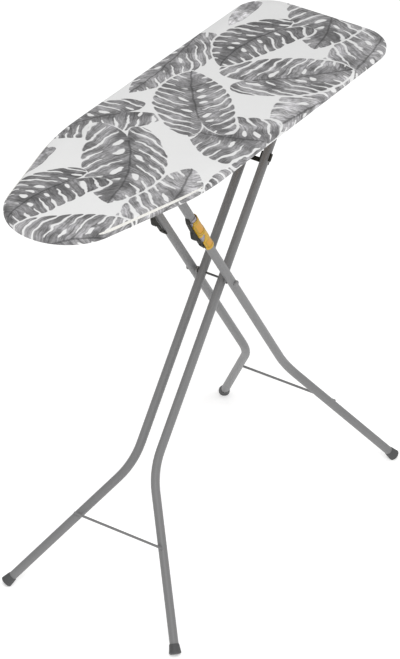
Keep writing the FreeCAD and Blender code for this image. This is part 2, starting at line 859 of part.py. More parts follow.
def make_slide_caps():
    """Nylon caps on the ends of the slide rod, which run inside the guide rails."""
    half = new_body("slide_cap_half", "outer")
    cap = new_sketch(half, "XZ_Plane", "-dims.slide_cap_outer_y")
    add_circle(cap, (HINGE_REACH, "0"), "dims.slide_cap_radius")
    pad(half, cap, "dims.slide_cap_outer_y - dims.slide_cap_inner_y")
    bore = new_sketch(half, "XZ_Plane", "-dims.slide_cap_inner_y")
    add_circle(bore, (HINGE_REACH, "0"), "dims.axle_radius + dims.push_gap")
    pocket(half, bore, "dims.slide_rod_half - dims.slide_cap_inner_y + dims.running_gap")
    return pair("slide_caps", half)


def plug_body(leg, name, bore=None):
    """A plastic plug in the open top of a tube: a stub inside it and a head on its end."""
    body = new_body(name, leg)
    middle = (f"dims.{leg}_offset", "0")
    head = new_sketch(body, "YZ_Plane", TUBE_TOP)
    add_circle(head, middle, "dims.tube_radius")
    pad(body, head, "dims.plug_head")
    stub = new_sketch(body, "YZ_Plane", f"{TUBE_TOP} - dims.plug_stub")
    add_circle(stub, middle, f"{TUBE_BORE} - dims.running_gap")
    pad(body, stub, "dims.plug_stub")
    if bore:
        hole = new_sketch(body, "YZ_Plane", f"{TUBE_TOP} + 2 * dims.plug_head")
        add_circle(hole, middle, bore)
        pocket(body, hole, "4 * dims.plug_stub")
    return body


def make_top_plugs():
    pair("inner_top_plugs", plug_body("inner", "inner_plug_half"))
    whole = plug_body("outer", "outer_plug_whole")
    bored = plug_body("outer", "outer_plug_bored", "dims.bolt_radius + dims.rod_room")
    grouped("outer_top_plugs", whole, mirrored("outer_plug_right", bored))


# ---------------------------------------------------------------- black fittings on the tubes


def make_spreader():
    """A moulded bar under the inner tubes, with a clip at each end that snaps round a tube."""
    body = new_body("leg_spreader", "inner")
    bar = new_sketch(body, "YZ_Plane", "dims.spreader_start")
    low = ("(-dims.spreader_half_width)", "(-dims.spreader_low)")
    add_rectangle(bar, low, ("dims.spreader_half_width", "(-dims.spreader_high)"))
    pad(body, bar, "dims.spreader_length")
    clips = new_sketch(body, "YZ_Plane", "dims.clip_start")
    grooves = new_sketch(body, "YZ_Plane", "dims.clip_end")
    centres = [("dims.inner_offset", "0"), ("(-dims.inner_offset)", "0")]
    for centre in centres:
        add_circle(clips, centre, "dims.clip_radius")
        add_circle(grooves, centre, "dims.tube_radius + dims.running_gap")
    pad(body, clips, "dims.clip_end - dims.clip_start")
    pocket(body, grooves, "dims.clip_end - dims.spreader_start")
    mouths = new_sketch(body, "YZ_Plane", "dims.clip_end")
    reach = "(dims.inner_offset + dims.clip_radius + dims.clip_lip)"
    add_rectangle(mouths, (f"(-{reach})", "dims.clip_lip"), (reach, "2 * dims.clip_radius"))
    pocket(body, mouths, "dims.clip_end - dims.clip_start")
    return body


def saddle_profile():
    """The side view of a saddle: two feet on the tube, a bow between them and a hooked tooth."""
    start, end, foot = "dims.saddle_start", "dims.saddle_end", "dims.saddle_foot"
    face, tooth, under = "dims.saddle_face", "dims.tooth_start", "dims.saddle_underside"
    return [
        (start, "0"),
        (start, "dims.tube_radius"),
        (f"({start} + dims.saddle_toe)", under),
        (f"({start} + {foot})", "dims.saddle_shoulder"),
        (f"({start} + dims.saddle_lead)", face),
        (tooth, face),
        (f"({tooth} + dims.tooth_rise)", "dims.tooth_rise_height"),
        (f"({tooth} + dims.tooth_crown)", "dims.tooth_crown_height"),
        (f"({tooth} + dims.tooth_middle)", "dims.tooth_height"),
        (f"({tooth} + dims.tooth_length)", "dims.tooth_root_height"),
        (f"({tooth} + dims.tooth_heel)", "dims.tooth_heel_height"),
        (f"({end} - {foot})", "dims.saddle_tail_height"),
        (f"({end} - dims.saddle_tip)", "dims.saddle_tip_height"),
        (end, "dims.tube_radius"),
        (end, "0"),
        (f"({end} - {foot})", "0"),
        (f"({end} - {foot})", under),
        (f"({start} + {foot})", under),
        (f"({start} + {foot})", "0"),
    ]


def make_saddle():
    """A moulded bow along the underside of the tube, with room for the grip under it."""
    body = new_body("tube_saddle_left", "outer")
    plane = "-(dims.outer_offset + dims.saddle_half_width)"
    sketch = new_sketch(body, "XZ_Plane", plane)
    trace(sketch, saddle_profile())
    pad(body, sketch, "2 * dims.saddle_half_width")
    groove = new_sketch(body, "YZ_Plane", "dims.saddle_end")
    add_circle(groove, ("dims.outer_offset", "0"), "dims.tube_radius + dims.running_gap")
    pocket(body, groove, "dims.saddle_end - dims.saddle_start")
    return body


def make_saddle_rivets():
    """Rivet heads on the faces of the two saddles."""
    half = new_body("rivet_half", "outer")
    half.AllowCompound = True
    sketch = new_sketch(half, "XY_Plane", "dims.saddle_face")
    first = "(dims.saddle_start + dims.rivet_setback)"
    for place in (first, f"({first} + dims.rivet_pitch)"):
        add_circle(sketch, (place, "dims.outer_offset"), "dims.rivet_radius")
    pad(half, sketch, "dims.rivet_height")
    return pair("saddle_rivets", half)


# ---------------------------------------------------------------- release grip and catch


def sleeve(name, start, end, inner, outer):
    """A ring round the right outer tube, slotted below for the lower foot of the saddle."""
    body = new_body(name, "outer")
    ring = new_sketch(body, "YZ_Plane", start)
    for radius in (inner, outer):
        add_circle(ring, ("(-dims.outer_offset)", "0"), radius)
    pad(body, ring, f"{end} - {start}")
    slot = new_sketch(body, "XY_Plane", "dims.saddle_face")
    low = (f"({start} - dims.grip_travel)", "(-dims.outer_offset - dims.grip_slot_half_width)")
    high = ("dims.grip_slot_end", "(-dims.outer_offset + dims.grip_slot_half_width)")
    add_rectangle(slot, low, high)
    pocket(body, slot, "dims.saddle_face")
    pin_hole = new_sketch(body, "XY_Plane")
    centre = ("dims.grip_pin_position", "(-dims.outer_offset)")
    add_circle(pin_hole, centre, "dims.grip_pin_radius + dims.push_gap")
    pocket(body, pin_hole, "dims.saddle_face")
    return body


def cut_near_side(body, outline):
    """Cuts an outline, seen from the right, through the outward half of a sleeve."""
    sketch = new_sketch(body, "XZ_Plane", "dims.outer_offset")
    trace(sketch, outline)
    pocket(body, sketch, "2 * dims.grip_outer_radius", reverse=True)


def sink_band(body, start, end):
    """Turns a shallow band round the grip, between its standing rims."""
    ring = new_sketch(body, "YZ_Plane", end)
    for radius in ("dims.grip_outer_radius - dims.band_depth",
                   "dims.grip_outer_radius + dims.cut_margin"):
        add_circle(ring, ("(-dims.outer_offset)", "0"), radius)
    pocket(body, ring, f"{end} - {start}")


def make_grip():
    """The moulded outer sleeve: two sunk bands, a slanted window and a sloped upper corner."""
    body = sleeve("release_grip", "dims.grip_start", "dims.grip_end", "dims.grip_inner_radius",
                  "dims.grip_outer_radius")
    window, above = "dims.grip_slot_end", "(dims.grip_outer_radius + dims.cut_margin)"
    cut_near_side(body, [
        (f"({window} + dims.window_toe)", "dims.window_toe_height"),
        (f"({window} + dims.window_low)", "dims.window_low_height"),
        (f"({window} - dims.window_back)", "dims.window_back_height"),
        (f"({window} - dims.window_back)", above),
        (f"({window} + dims.window_front)", above),
        (f"({window} + dims.window_front)", "dims.window_front_height"),
    ])
    slope = new_sketch(body, "XZ_Plane")
    beyond = "(dims.grip_end + dims.grip_travel)"
    trace(slope, [
        ("dims.grip_slope_start", above),
        ("dims.grip_slope_start", "dims.grip_outer_radius"),
        ("dims.grip_end", "dims.grip_slope_depth"),
        (beyond, "dims.grip_slope_depth"),
        (beyond, above),
    ])
    pocket(body, slope, "4 * dims.outer_offset", both=True)
    for band in ("low_band", "high_band"):
        sink_band(body, f"dims.{band}_start", f"dims.{band}_end")
    return body


def make_liner():
    """The inner sleeve, seen through the window and as a tab above the grip."""
    body = sleeve("grip_liner", "dims.liner_start", "dims.liner_tab_end",
                  "dims.liner_inner_radius", "dims.liner_outer_radius")
    end, beyond = "dims.liner_end", "(dims.liner_tab_end + dims.grip_travel)"
    reach = "dims.grip_outer_radius"
    for low, high in (("dims.liner_tab_high", reach), (f"(-{reach})", "dims.liner_tab_low")):
        sketch = new_sketch(body, "XZ_Plane")
        add_rectangle(sketch, (end, low), (beyond, high))
        pocket(body, sketch, "4 * dims.outer_offset", both=True)
    far = new_sketch(body, "XZ_Plane", "dims.outer_offset")
    add_rectangle(far, (end, f"(-{reach})"), (beyond, reach))
    pocket(body, far, reach)
    return body


def make_grip_pin():
    body = new_body("grip_pin", "outer")
    foot = "(dims.shuttle_radius / 2)"
    length = f"(dims.grip_inner_radius + {foot})"
    sketch = new_sketch(body, "XY_Plane", f"{foot} - {length}")
    add_circle(sketch, ("dims.grip_pin_position", "(-dims.outer_offset)"), "dims.grip_pin_radius")
    pad(body, sketch, length)
    return body


def make_shuttle():
    """The slug inside the tube that the grip's pin and the pull rod are fixed in."""
    body = new_body("rod_shuttle", "outer")
    middle = ("(-dims.outer_offset)", "0")
    start = "(dims.grip_pin_position - dims.shuttle_half)"
    slug = new_sketch(body, "YZ_Plane", start)
    add_circle(slug, middle, "dims.shuttle_radius")
    pad(body, slug, "2 * dims.shuttle_half")
    cross = new_sketch(body, "XY_Plane", "2 * dims.shuttle_radius")
    centre = ("dims.grip_pin_position", middle[0])
    add_circle(cross, centre, "dims.grip_pin_radius + dims.push_gap")
    pocket(body, cross, "4 * dims.shuttle_radius")
    seat = new_sketch(body, "YZ_Plane", "dims.grip_pin_position + dims.shuttle_half")
    add_circle(seat, middle, "dims.pull_rod_radius + dims.push_gap")
    pocket(body, seat, "dims.shuttle_half / 2")
    return body


def make_pull_rod():
    body = new_body("pull_rod", "outer")
    start = "(dims.grip_pin_position + dims.shuttle_half / 2 + dims.rod_room)"
    sketch = new_sketch(body, "YZ_Plane", start)
    add_circle(sketch, ("(-dims.outer_offset)", "0"), "dims.pull_rod_radius")
    pad(body, sketch, f"dims.bolt_start - {start}")
    return body


def make_catch_bolt():
    """The bolt that the pull rod lifts into a slot of the catch strip."""
    body = new_body("catch_bolt", "outer")
    sketch = new_sketch(body, "YZ_Plane", "dims.bolt_start")
    add_circle(sketch, ("(-dims.outer_offset)", "0"), "dims.bolt_radius")
    pad(body, sketch, "dims.bolt_end - dims.bolt_start")
    return body


def make_spring_stop():
    body = new_body("spring_stop", "outer")
    sketch = new_sketch(body, "YZ_Plane", "dims.stop_start")
    add_circle(sketch, ("(-dims.outer_offset)", "0"), f"{TUBE_BORE} - dims.running_gap")
    pad(body, sketch, "dims.stop_length")
    return body


def make_return_spring():
    """A coil spring between the stop and the shuttle, drawn at its compressed length."""
    radius, wire = size_of("dims.spring_radius"), size_of("dims.spring_wire_radius")
    length = size_of("dims.spring_length") - 2 * wire
    helix = Part.makeHelix(size_of("dims.spring_pitch"), length, radius)
    start = helix.Edges[0].valueAt(helix.Edges[0].FirstParameter)
    heading = helix.Edges[0].tangentAt(helix.Edges[0].FirstParameter)
    section = Part.Wire(Part.makeCircle(wire, start, heading))
    coil = Part.Wire(helix.Edges).makePipeShell([section], True, True)
    spring = DOC.addObject("Part::Feature", "return_spring")
    spring.Label = "return_spring"
    spring.Shape = coil
    along_leg = FreeCAD.Rotation(FreeCAD.Vector(0, 1, 0), 90)
    seat = size_of("dims.stop_start + dims.stop_length + dims.running_gap") + wire
    side = -size_of("dims.outer_offset")
    in_leg = FreeCAD.Placement(FreeCAD.Vector(seat, side, 0), along_leg)
    pivot = FreeCAD.Vector(size_of("dims.pivot_x"), 0, size_of("dims.pivot_height"))
    tilt = FreeCAD.Rotation(FreeCAD.Vector(0, -1, 0), size_of("90 + dims.leg_lean"))
    spring.Placement = FreeCAD.Placement(pivot, tilt).multiply(in_leg)
    return spring


# ---------------------------------------------------------------- whole object


def make_board():
    make_panel()
    make_pad()
    make_cover()
    mirrored("hinge_bracket_right", make_hinge_bracket())
    mirrored("guide_rail_right", make_guide_rail())
    make_catch_strip()
    make_screws()


def make_legs():
    floor_block = make_floor_block()
    for leg, side in (("inner", "+"), ("outer", "-")):
        mirrored(f"{leg}_foot_right", make_foot(leg, floor_block))
        make_crossbar(leg, side)
    mirrored("inner_leg_tube_right", make_tube("inner", "inner_leg_tube_left"))
    make_right_outer_tube(make_tube("outer", "outer_leg_tube_left"))
    make_top_plugs()


def make_joints():
    make_pivot_rod()
    make_pivot_spacers()
    make_pivot_caps()
    make_hinge_axle()
    make_axle_caps()
    make_slide_rod()
    make_slide_caps()


def make_fittings():
    make_spreader()
    mirrored("tube_saddle_right", make_saddle())
    make_saddle_rivets()


def make_release():
    make_grip()
    make_liner()
    make_grip_pin()
    make_shuttle()
    make_pull_rod()
    make_catch_bolt()
    make_spring_stop()
    make_return_spring()


NODES = [
    "board_panel",
    "foam_pad",
    "fabric_cover",
    "hinge_bracket_left",
    "hinge_bracket_right",
    "guide_rail_left",
    "guide_rail_right",
    "catch_strip",
    "panel_screws",
    "inner_leg_tube_left",
    "inner_leg_tube_right",
    "inner_crossbar",
    "inner_foot_left",
    "inner_foot_right",
    "inner_top_plugs",
    "hinge_axle",
    "hinge_axle_caps",
    "leg_spreader",
    "pivot_rod",
    "pivot_spacers",
    "pivot_caps",
    "outer_leg_tube_left",
    "outer_leg_tube_right",
    "outer_crossbar",
    "outer_foot_left",
    "outer_foot_right",
    "outer_top_plugs",
    "slide_rod",
    "slide_caps",
    "tube_saddle_left",
    "tube_saddle_right",
    "saddle_rivets",
    "spring_stop",
    "return_spring",
    "release_grip",
    "grip_liner",
    "grip_pin",
    "rod_shuttle",
    "pull_rod",
    "catch_bolt",
]


def check_document():
    for item in DOC.Objects:
        if {"Invalid", "Error"} & set(item.State):
            raise RuntimeError(f"{item.Label} failed to recompute: {item.State}")


def write_nodes():
    os.makedirs("parts", exist_ok=True)
    for name in NODES:
        shape = DOC.getObjectsByLabel(name)[0].Shape
        if shape.isNull() or not shape.isValid() or shape.Volume <= 0:
            raise RuntimeError(f"{name} has no valid solid")
        shape.exportStep(f"parts/{name}.step")
        box = shape.BoundBox
        print(f"{name:22s} solids {len(shape.Solids)} volume {shape.Volume:9.0f} "
              f"x {box.XMin:7.1f} {box.XMax:7.1f} y {box.YMin:7.1f} {box.YMax:7.1f} "
              f"z {box.ZMin:6.1f} {box.ZMax:6.1f}")


make_board()
make_legs()
make_joints()
make_fittings()
make_release()
DOC.recompute()
check_document()
write_nodes()
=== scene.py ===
"""Looks of the folding ironing board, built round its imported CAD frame.

Metres, in the row frame: +X from the nose to the tail of the board, +Y to its left, +Z up.
"""

import json
import math

import bmesh
import bpy
import numpy as np
from mathutils import Matrix, Vector


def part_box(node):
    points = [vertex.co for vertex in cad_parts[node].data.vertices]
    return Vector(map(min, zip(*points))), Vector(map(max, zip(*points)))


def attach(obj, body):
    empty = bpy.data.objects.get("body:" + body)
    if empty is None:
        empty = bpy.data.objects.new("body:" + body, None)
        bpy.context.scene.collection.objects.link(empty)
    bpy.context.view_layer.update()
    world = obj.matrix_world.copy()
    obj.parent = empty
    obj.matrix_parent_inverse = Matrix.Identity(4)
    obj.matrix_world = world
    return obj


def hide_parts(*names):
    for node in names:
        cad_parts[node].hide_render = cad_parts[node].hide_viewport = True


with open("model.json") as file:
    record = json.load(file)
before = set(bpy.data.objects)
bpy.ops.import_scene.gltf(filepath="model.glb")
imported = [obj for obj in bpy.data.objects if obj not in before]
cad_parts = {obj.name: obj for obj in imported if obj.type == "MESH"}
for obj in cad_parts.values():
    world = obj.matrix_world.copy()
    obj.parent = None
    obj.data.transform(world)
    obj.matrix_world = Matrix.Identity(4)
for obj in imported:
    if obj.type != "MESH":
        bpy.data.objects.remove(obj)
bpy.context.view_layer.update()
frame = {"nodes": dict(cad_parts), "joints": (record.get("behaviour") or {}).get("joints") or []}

MM = 0.001

# The board's outline, as the CAD draws it
NOSE_RADIUS = 0.102
TAIL_RADIUS = 0.070
SHOULDER_RADIUS = 0.500
TAPER = math.radians(14.2)

# The cover's mesh. The pad's has half as many points round its rim.
RIM_POINTS = 320
TOP_RINGS = 18
RIM_STEPS = 5
UNDER_STEPS = 3
WELD = 0.00001

# The cover: its roundings, the rings down its side, its hem, and the cloth that goes over the edge
RIM_ROUND = 0.0065
UNDER_ROUND = 0.0035
UNDER_GAP = 0.0003
SIDE_STEPS = (0.0015, 0.0035)
HEM_WIDTH = 0.026
HEM_SHARES = (0.15, 0.3, 0.45, 0.6, 0.8, 1.0)
CLOTH_THICKNESS = 0.0006
OVER_EDGE = 0.0448

# Waves round the rim: their harmonics and seed, and how deep they go
GATHERS = ((97, 113, 131, 149), 4)
GATHER_DEPTH = 0.00105
SLACK = ((7, 13, 19, 29), 8)
SLACK_DEPTH = 0.0004
CASING_WANDER = ((61, 83, 107, 139), 12)
CASING_WANDER_DEPTH = 0.0005

# The casing at the end of the hem, and how far the print moves on, in millimetres, at each side
CASING_RADIUS = 0.0019
CASING_SIDES = 8
CASING_PRINT_STEP = 2.0

# The pad. Its top lies a little below the CAD's, which leaves the cloth solver room to lift it.
PAD_TOP_RINGS = 16
PAD_SINK = 0.0006
PAD_INSET = 0.004
PAD_ROUND = 0.0035
PAD_ROUND_STEPS = 4

# The cloth solver leaves points free down to this far below the top. Then the pressure it blows a
# piece up with, and the furthest that a point may move.
COVER_FREE = RIM_ROUND * 0.7
PAD_FREE = 0.001
COVER_PRESSURE, COVER_SWELL = 1.2, 0.0012
PAD_PRESSURE, PAD_SWELL = 1.0, 0.0004

# The camera, from a perspective fit
VIEW_YAW = math.radians(31.62)
VIEW_PITCH = math.radians(32.69)
VIEW_ROLL = math.radians(2.00)
VIEW_AIM = Vector((0.0538, 0.0, 0.4336))
VIEW_DISTANCE = 6.0325
VIEW_LENS = 185.7
VIEW_SENSOR = 36.0
VIEW_END = 200.0

# The studio. Each lamp has a name, a place, an aim, a width and a power.
FLOOR_HALF = 60.0
FLOOR_DROP = 0.0005
FLOOR_GLOW = 0.35
SKY_STRENGTH = 0.64
LAMPS = (
    ("key", (-1.9, -1.2, 3.4), (0.0, 0.0, 0.5), 2.2, 58.0),
    ("fill", (2.6, -2.8, 2.4), (0.0, 0.0, 0.4), 2.6, 20.0),
)

# The grip's two sunk panels, in millimetres: along the leg from the pivot, and out from its
# underside. Then the width of the painted shade round their sunk edges, and the two seams across
# the grip, which get painted shade in their grooves.
PANELS = (((153.0, 172.0), (-6.0, 5.5)), ((205.0, 233.0), (-5.5, 6.5)))
PANEL_SHADE_WIDTH = 2.0
SEAMS = ((199.0, 200.6), (238.6, 240.0))

# How much worn edges show, the edge radius and grain of the moulded parts, and the scales of the
# drawing streaks on rods that lie along X or along Y
WEAR = 0.40
PLASTIC_EDGE = 0.0008
PLASTIC_GRAIN = 1400.0
DRAWN_ALONG_X = (8.0, 900.0, 900.0)
DRAWN_ALONG_Y = (900.0, 8.0, 900.0)


# ---------------------------------------------------------------- material nodes


class Wire:
    """A value in a node tree. Arithmetic on it adds Math nodes."""

    def __init__(self, tree, socket):
        self.tree = tree
        self.socket = socket

    def apply(self, operation, *others, clamp=False):
        node = self.tree.nodes.new("ShaderNodeMath")
        node.operation = operation
        node.use_clamp = clamp
        for place, value in enumerate((self, *others)):
            join(self.tree, value, node.inputs[place])
        return Wire(self.tree, node.outputs[0])

    def __add__(self, other):
        return self.apply("ADD", other)

    def __sub__(self, other):
        return self.apply("SUBTRACT", other)

    def __mul__(self, other):
        return self.apply("MULTIPLY", other)

    def __truediv__(self, other):
        return self.apply("DIVIDE", other)

    def __rsub__(self, other):
        return self.apply("MULTIPLY_ADD", -1.0, other)

    def power(self, exponent):
        return self.apply("POWER", exponent)

    def size(self):
        return self.apply("ABSOLUTE")

    def root(self):
        return self.apply("SQRT")

    def sine(self):
        return self.apply("SINE")

    def cosine(self):
        return self.apply("COSINE")

    def whole(self):
        return self.apply("FLOOR")

    def fraction(self):
        return self.apply("FRACT")

    def nearest(self):
        return self.apply("ROUND")

    def clamped(self):
        return self.apply("ADD", 0.0, clamp=True)

    def most(self, other):
        return self.apply("MAXIMUM", other)

    def over(self, other):
        return self.apply("GREATER_THAN", other)

    def ramp(self, low, high):
        """0 up to low, 1 from high on, and a smooth rise between them."""
        node = self.tree.nodes.new("ShaderNodeMapRange")
        node.interpolation_type = "SMOOTHSTEP"
        for name, value in (("Value", self), ("From Min", low), ("From Max", high)):
            join(self.tree, value, node.inputs[name])
        return Wire(self.tree, node.outputs["Result"])


def join(tree, value, socket):
    """Links a Wire to a socket, or sets the socket's own value."""
    if isinstance(value, Wire):
        tree.links.new(value.socket, socket)
    else:
        socket.default_value = value


def add_node(tree, kind, output=0, settings=None, **inputs):
    """Adds a node with some inputs filled. Returns the Wire of one output."""
    node = tree.nodes.new(kind)
    for name, value in (settings or {}).items():
        setattr(node, name, value)
    for name, value in inputs.items():
        join(tree, value, node.inputs[name.replace("_", " ")])
    return Wire(tree, node.outputs[output])


def object_place(tree):
    """Where a shaded point is, in its object's own metres."""
    return add_node(tree, "ShaderNodeTexCoord", "Object")


def noise(tree, place, scale, detail=3.0, roughness=0.55, output="Fac"):
    """Soft cloudy noise, from about 0 to 1."""
    return add_node(tree, "ShaderNodeTexNoise", output, Vector=place, Scale=scale,
                    Detail=detail, Roughness=roughness)


def split(tree, vector):
    """The three parts of a vector, as Wires."""
    node = tree.nodes.new("ShaderNodeSeparateXYZ")
    join(tree, vector, node.inputs[0])
    return [Wire(tree, output) for output in node.outputs]


def mix_colours(tree, share, first, second):
    """A colour that goes from the first, at share 0, to the second, at share 1."""
    node = tree.nodes.new("ShaderNodeMix")
    node.data_type = "RGBA"
    colour_in = [s for s in node.inputs if s.type == "RGBA"]
    join(tree, share, node.inputs[0])
    for socket, value in zip(colour_in, (first, second)):
        join(tree, value if isinstance(value, Wire) else (*value, 1.0), socket)
    return Wire(tree, next(s for s in node.outputs if s.type == "RGBA"))


def bump(tree, height, distance):
    """The normal of a surface with a relief, in metres deep."""
    return add_node(tree, "ShaderNodeBump", "Normal", Height=height, Distance=distance)


def edge_wear(tree, radius=0.0012):
    """1 on sharp edges and 0 elsewhere, from the bend between the bevelled and true normals."""
    soft = add_node(tree, "ShaderNodeBevel", "Normal", settings={"samples": 4}, Radius=radius)
    true = add_node(tree, "ShaderNodeNewGeometry", "Normal")
    along = tree.nodes.new("ShaderNodeVectorMath")
    along.operation = "DOT_PRODUCT"
    join(tree, soft, along.inputs[0])
    join(tree, true, along.inputs[1])
    return (1.0 - Wire(tree, along.outputs["Value"])).ramp(0.02, 0.25)


def new_material(name, **shader):
    """A material, its tree and its shader, with the shader's plain numbers set."""
    material = bpy.data.materials.new(name)
    material.use_nodes = True
    tree = material.node_tree
    principled = tree.nodes["Principled BSDF"]
    for key, value in shader.items():
        principled.inputs[key.replace("_", " ")].default_value = value
    return material, tree, principled


def painted_tube():
    """Satin powder coat: fine orange peel, faint mottling and rubbed edges."""
    material, tree, shader = new_material("grey_paint_look", Specular_IOR_Level=0.5)
    place = object_place(tree)
    cloud = noise(tree, place, 14.0)
    speck = noise(tree, place, 900.0, 2.0)
    base = mix_colours(tree, cloud, (0.166, 0.166, 0.168), (0.204, 0.204, 0.206))
    base = mix_colours(tree, speck.ramp(0.58, 0.75) * 0.35, base, (0.27, 0.27, 0.27))
    base = mix_colours(tree, edge_wear(tree) * WEAR, base, (0.38, 0.38, 0.37))
    join(tree, base, shader.inputs["Base Color"])
    join(tree, cloud * 0.12 + 0.40, shader.inputs["Roughness"])
    join(tree, bump(tree, noise(tree, place, 650.0, 2.0), 0.00008), shader.inputs["Normal"])
    return material


def moulded_plastic(name, dark, light, rough, **shader_values):
    """Moulded plastic: a fine spark-eroded grain, faint flow clouds and paler worn edges."""
    material, tree, shader = new_material(name, **shader_values)
    place = object_place(tree)
    flow = noise(tree, place, 30.0, 4.0)
    base = mix_colours(tree, flow, dark, light)
    worn = tuple(min(1.0, channel * 1.6 + 0.01) for channel in light)
    base = mix_colours(tree, edge_wear(tree, PLASTIC_EDGE) * WEAR, base, worn)
    join(tree, base, shader.inputs["Base Color"])
    join(tree, flow * 0.14 + rough, shader.inputs["Roughness"])
    join(tree, bump(tree, noise(tree, place, PLASTIC_GRAIN, 2.0), 0.00006), shader.inputs["Normal"])
    return material


def bright_steel(name, dark, light, rough, streak=DRAWN_ALONG_X):
    """Plated or drawn steel with fine streaks along one axis."""
    material, tree, shader = new_material(name, Metallic=1.0)
    place = object_place(tree)
    drawn = tree.nodes.new("ShaderNodeMapping")
    join(tree, place, drawn.inputs["Vector"])
    drawn.inputs["Scale"].default_value = streak
    lines = noise(tree, Wire(tree, drawn.outputs[0]), 1.0, 2.0)
    cloud = noise(tree, place, 40.0, 4.0)
    base = mix_colours(tree, cloud, dark, light)
    join(tree, base, shader.inputs["Base Color"])
    join(tree, lines * 0.18 + cloud * 0.10 + rough, shader.inputs["Roughness"])
    join(tree, bump(tree, lines, 0.00003), shader.inputs["Normal"])
    return material


def pressed_board():
    """The fibreboard panel: short pale and dark fibres in a brown ground."""
    material, tree, shader = new_material("panel_board_look")
    place = object_place(tree)
    fibres = noise(tree, place, 420.0, 6.0, 0.7)
    cloud = noise(tree, place, 9.0, 3.0)
    base = mix_colours(tree, fibres.ramp(0.35, 0.68), (0.20, 0.125, 0.070), (0.42, 0.29, 0.18))
    base = mix_colours(tree, cloud * 0.4, base, (0.30, 0.20, 0.12))
    join(tree, base, shader.inputs["Base Color"])
    join(tree, fibres * 0.2 + 0.62, shader.inputs["Roughness"])
    join(tree, bump(tree, fibres, 0.0002), shader.inputs["Normal"])
    return material


def foam_look():
    """Off-white foam with fine open pores, painted darker in their hollows as shade."""
    material, tree, shader = new_material("foam_look", Roughness=0.95, Sheen_Weight=0.15)
    place = object_place(tree)
    pores = add_node(tree, "ShaderNodeTexVoronoi", "Distance", Vector=place, Scale=900.0)
    # Painted shade: darker towards each pore's middle, where the bump sinks
    base = mix_colours(tree, pores.ramp(0.1, 0.5), (0.55, 0.54, 0.50), (0.80, 0.79, 0.75))
    join(tree, base, shader.inputs["Base Color"])
    join(tree, bump(tree, pores, 0.0004), shader.inputs["Normal"])
    return material


# ---------------------------------------------------------------- the cover's leaf print

PRINT_PERIOD = 650.0

# A leaf's outline: how blunt its tip is, how far its middle bulges, and its overall fullness
TIP_POWER = 0.80
BULGE = 1.6
FULLNESS = 0.86
SCALLOP_POWER = 3.0
SCALLOP_DEPTH = 0.09
LEAST_WIDTH = 0.02
HALO_WIDTH = 0.07

# Its veins: how they lean and curve to the tip, how unevenly, and how the two sides differ
VEIN_LEAN = 0.7
VEIN_CURVE = 0.5
VEIN_WOBBLE = 1.3
WOBBLE_SCALE = 0.022
SIDE_STEP = 0.45
SIDE_SEED = 31.7

# The slits between its lobes, which start nearer to the midrib where there is no hole
SLIT_START = 0.14
SLIT_START_SPREAD = 0.18
SLIT_PAST_HOLE = 0.26
SLIT_WIDTH = 0.145
SLIT_WIDTH_SPREAD = 0.08
SLIT_POWER = 0.45
SLIT_NARROWING = 0.35

# The holes beside its midrib: place and half size across the leaf, and half size along it
HOLE_PLACE = 0.24
HOLE_HALF_WIDTH = 0.13
HOLE_HALF_LENGTH = 0.19

# Its shading: the brush streaks' scales across the lobes, along them and from leaf to leaf, and
# how much darker the midrib, the lobes' veins, the core and the rim are
BRUSH = (7.0, 1.4, 9.0)
STREAK_GAIN, STREAK_BASE = 1.05, 0.42
RIB_DARKNESS = 0.55
VEIN_DARKNESS = 0.25
CORE_DARKNESS = 0.20
RIM_DARKNESS = 0.16

# The ink: the step in seed from one leaf to the next, how strongly a leaf's halo and its ink cover
# what is below, how far its edges drift in millimetres, and how its washes and stains change it
SEED_STEP = 0.37
HALO_COVER = 0.92
INK_COVER = 0.97
EDGE_DRIFT = (9.0, 9.0, 0.0)
WASH_GAIN, WASH_BASE = 0.95, 0.60
STAIN_GAIN, STAIN_BASE = 0.5, 0.78
PAPER = ((0.735, 0.735, 0.730), (0.765, 0.765, 0.765))

# The weave: its period in millimetres, how far its phase wanders, and its share of the relief
THREAD = 0.8
WEAVE_WANDER = 40.0
WEAVE_DEPTH = 0.3

# Each leaf in board millimetres: where its stalk meets it, the heading of its midrib in degrees,
# its length, its half width to the left and right of the midrib, the midrib's bow, how far its
# rounded base reaches behind the stalk as a share of its length, its count of lobes (0 for a plain
# leaf), how much its veins lean to the tip, and its tone. A later leaf lies over an earlier one.
LEAVES = (
    dict(x=-78, y=-202, heading=165, length=150, left=30, right=52, bow=0, back=0.10, lobes=7,
         lean=0.8, tone=0.24),
    dict(x=-232, y=136, heading=187, length=105, left=18, right=20, bow=0, back=0.07, lobes=0,
         lean=0.4, tone=0.41),
    dict(x=258, y=152, heading=185, length=255, left=62, right=45, bow=6, back=0.05, lobes=9,
         lean=1.2, tone=0.27),
    dict(x=-340, y=-142, heading=13, length=195, left=74, right=55, bow=-8, back=0.12, lobes=7,
         lean=0.7, tone=0.31),
    dict(x=262, y=-172, heading=172, length=230, left=40, right=70, bow=-8, back=0.07, lobes=8,
         lean=0.6, tone=0.34),
    dict(x=-67, y=104, heading=151, length=160, left=66, right=62, bow=-6, back=0.36, lobes=7,
         lean=0.6, tone=0.21),
    dict(x=0, y=-145, heading=109, length=134, left=92, right=82, bow=10, back=0.16, lobes=6,
         lean=0.45, tone=0.24),
    dict(x=-135, y=38, heading=204, length=208, left=66, right=86, bow=16, back=0.24, lobes=7,
         lean=0.95, tone=0.21),
    dict(x=165, y=-20, heading=320, length=184, left=78, right=66, bow=-8, back=0.26, lobes=7,
         lean=0.95, tone=0.24),
    dict(x=0, y=-15, heading=37, length=166, left=76, right=71, bow=5, back=0.36, lobes=8,
         lean=0.6, tone=0.23),
    dict(x=-302, y=43, heading=176, length=175, left=58, right=60, bow=-15, back=0.26, lobes=8,
         lean=0.45, tone=0.16),
)


def add_socket(group, name, way, kind="NodeSocketFloat"):
    """Adds an input or output to a node group."""
    group.interface.new_socket(name=name, in_out=way, socket_type=kind)


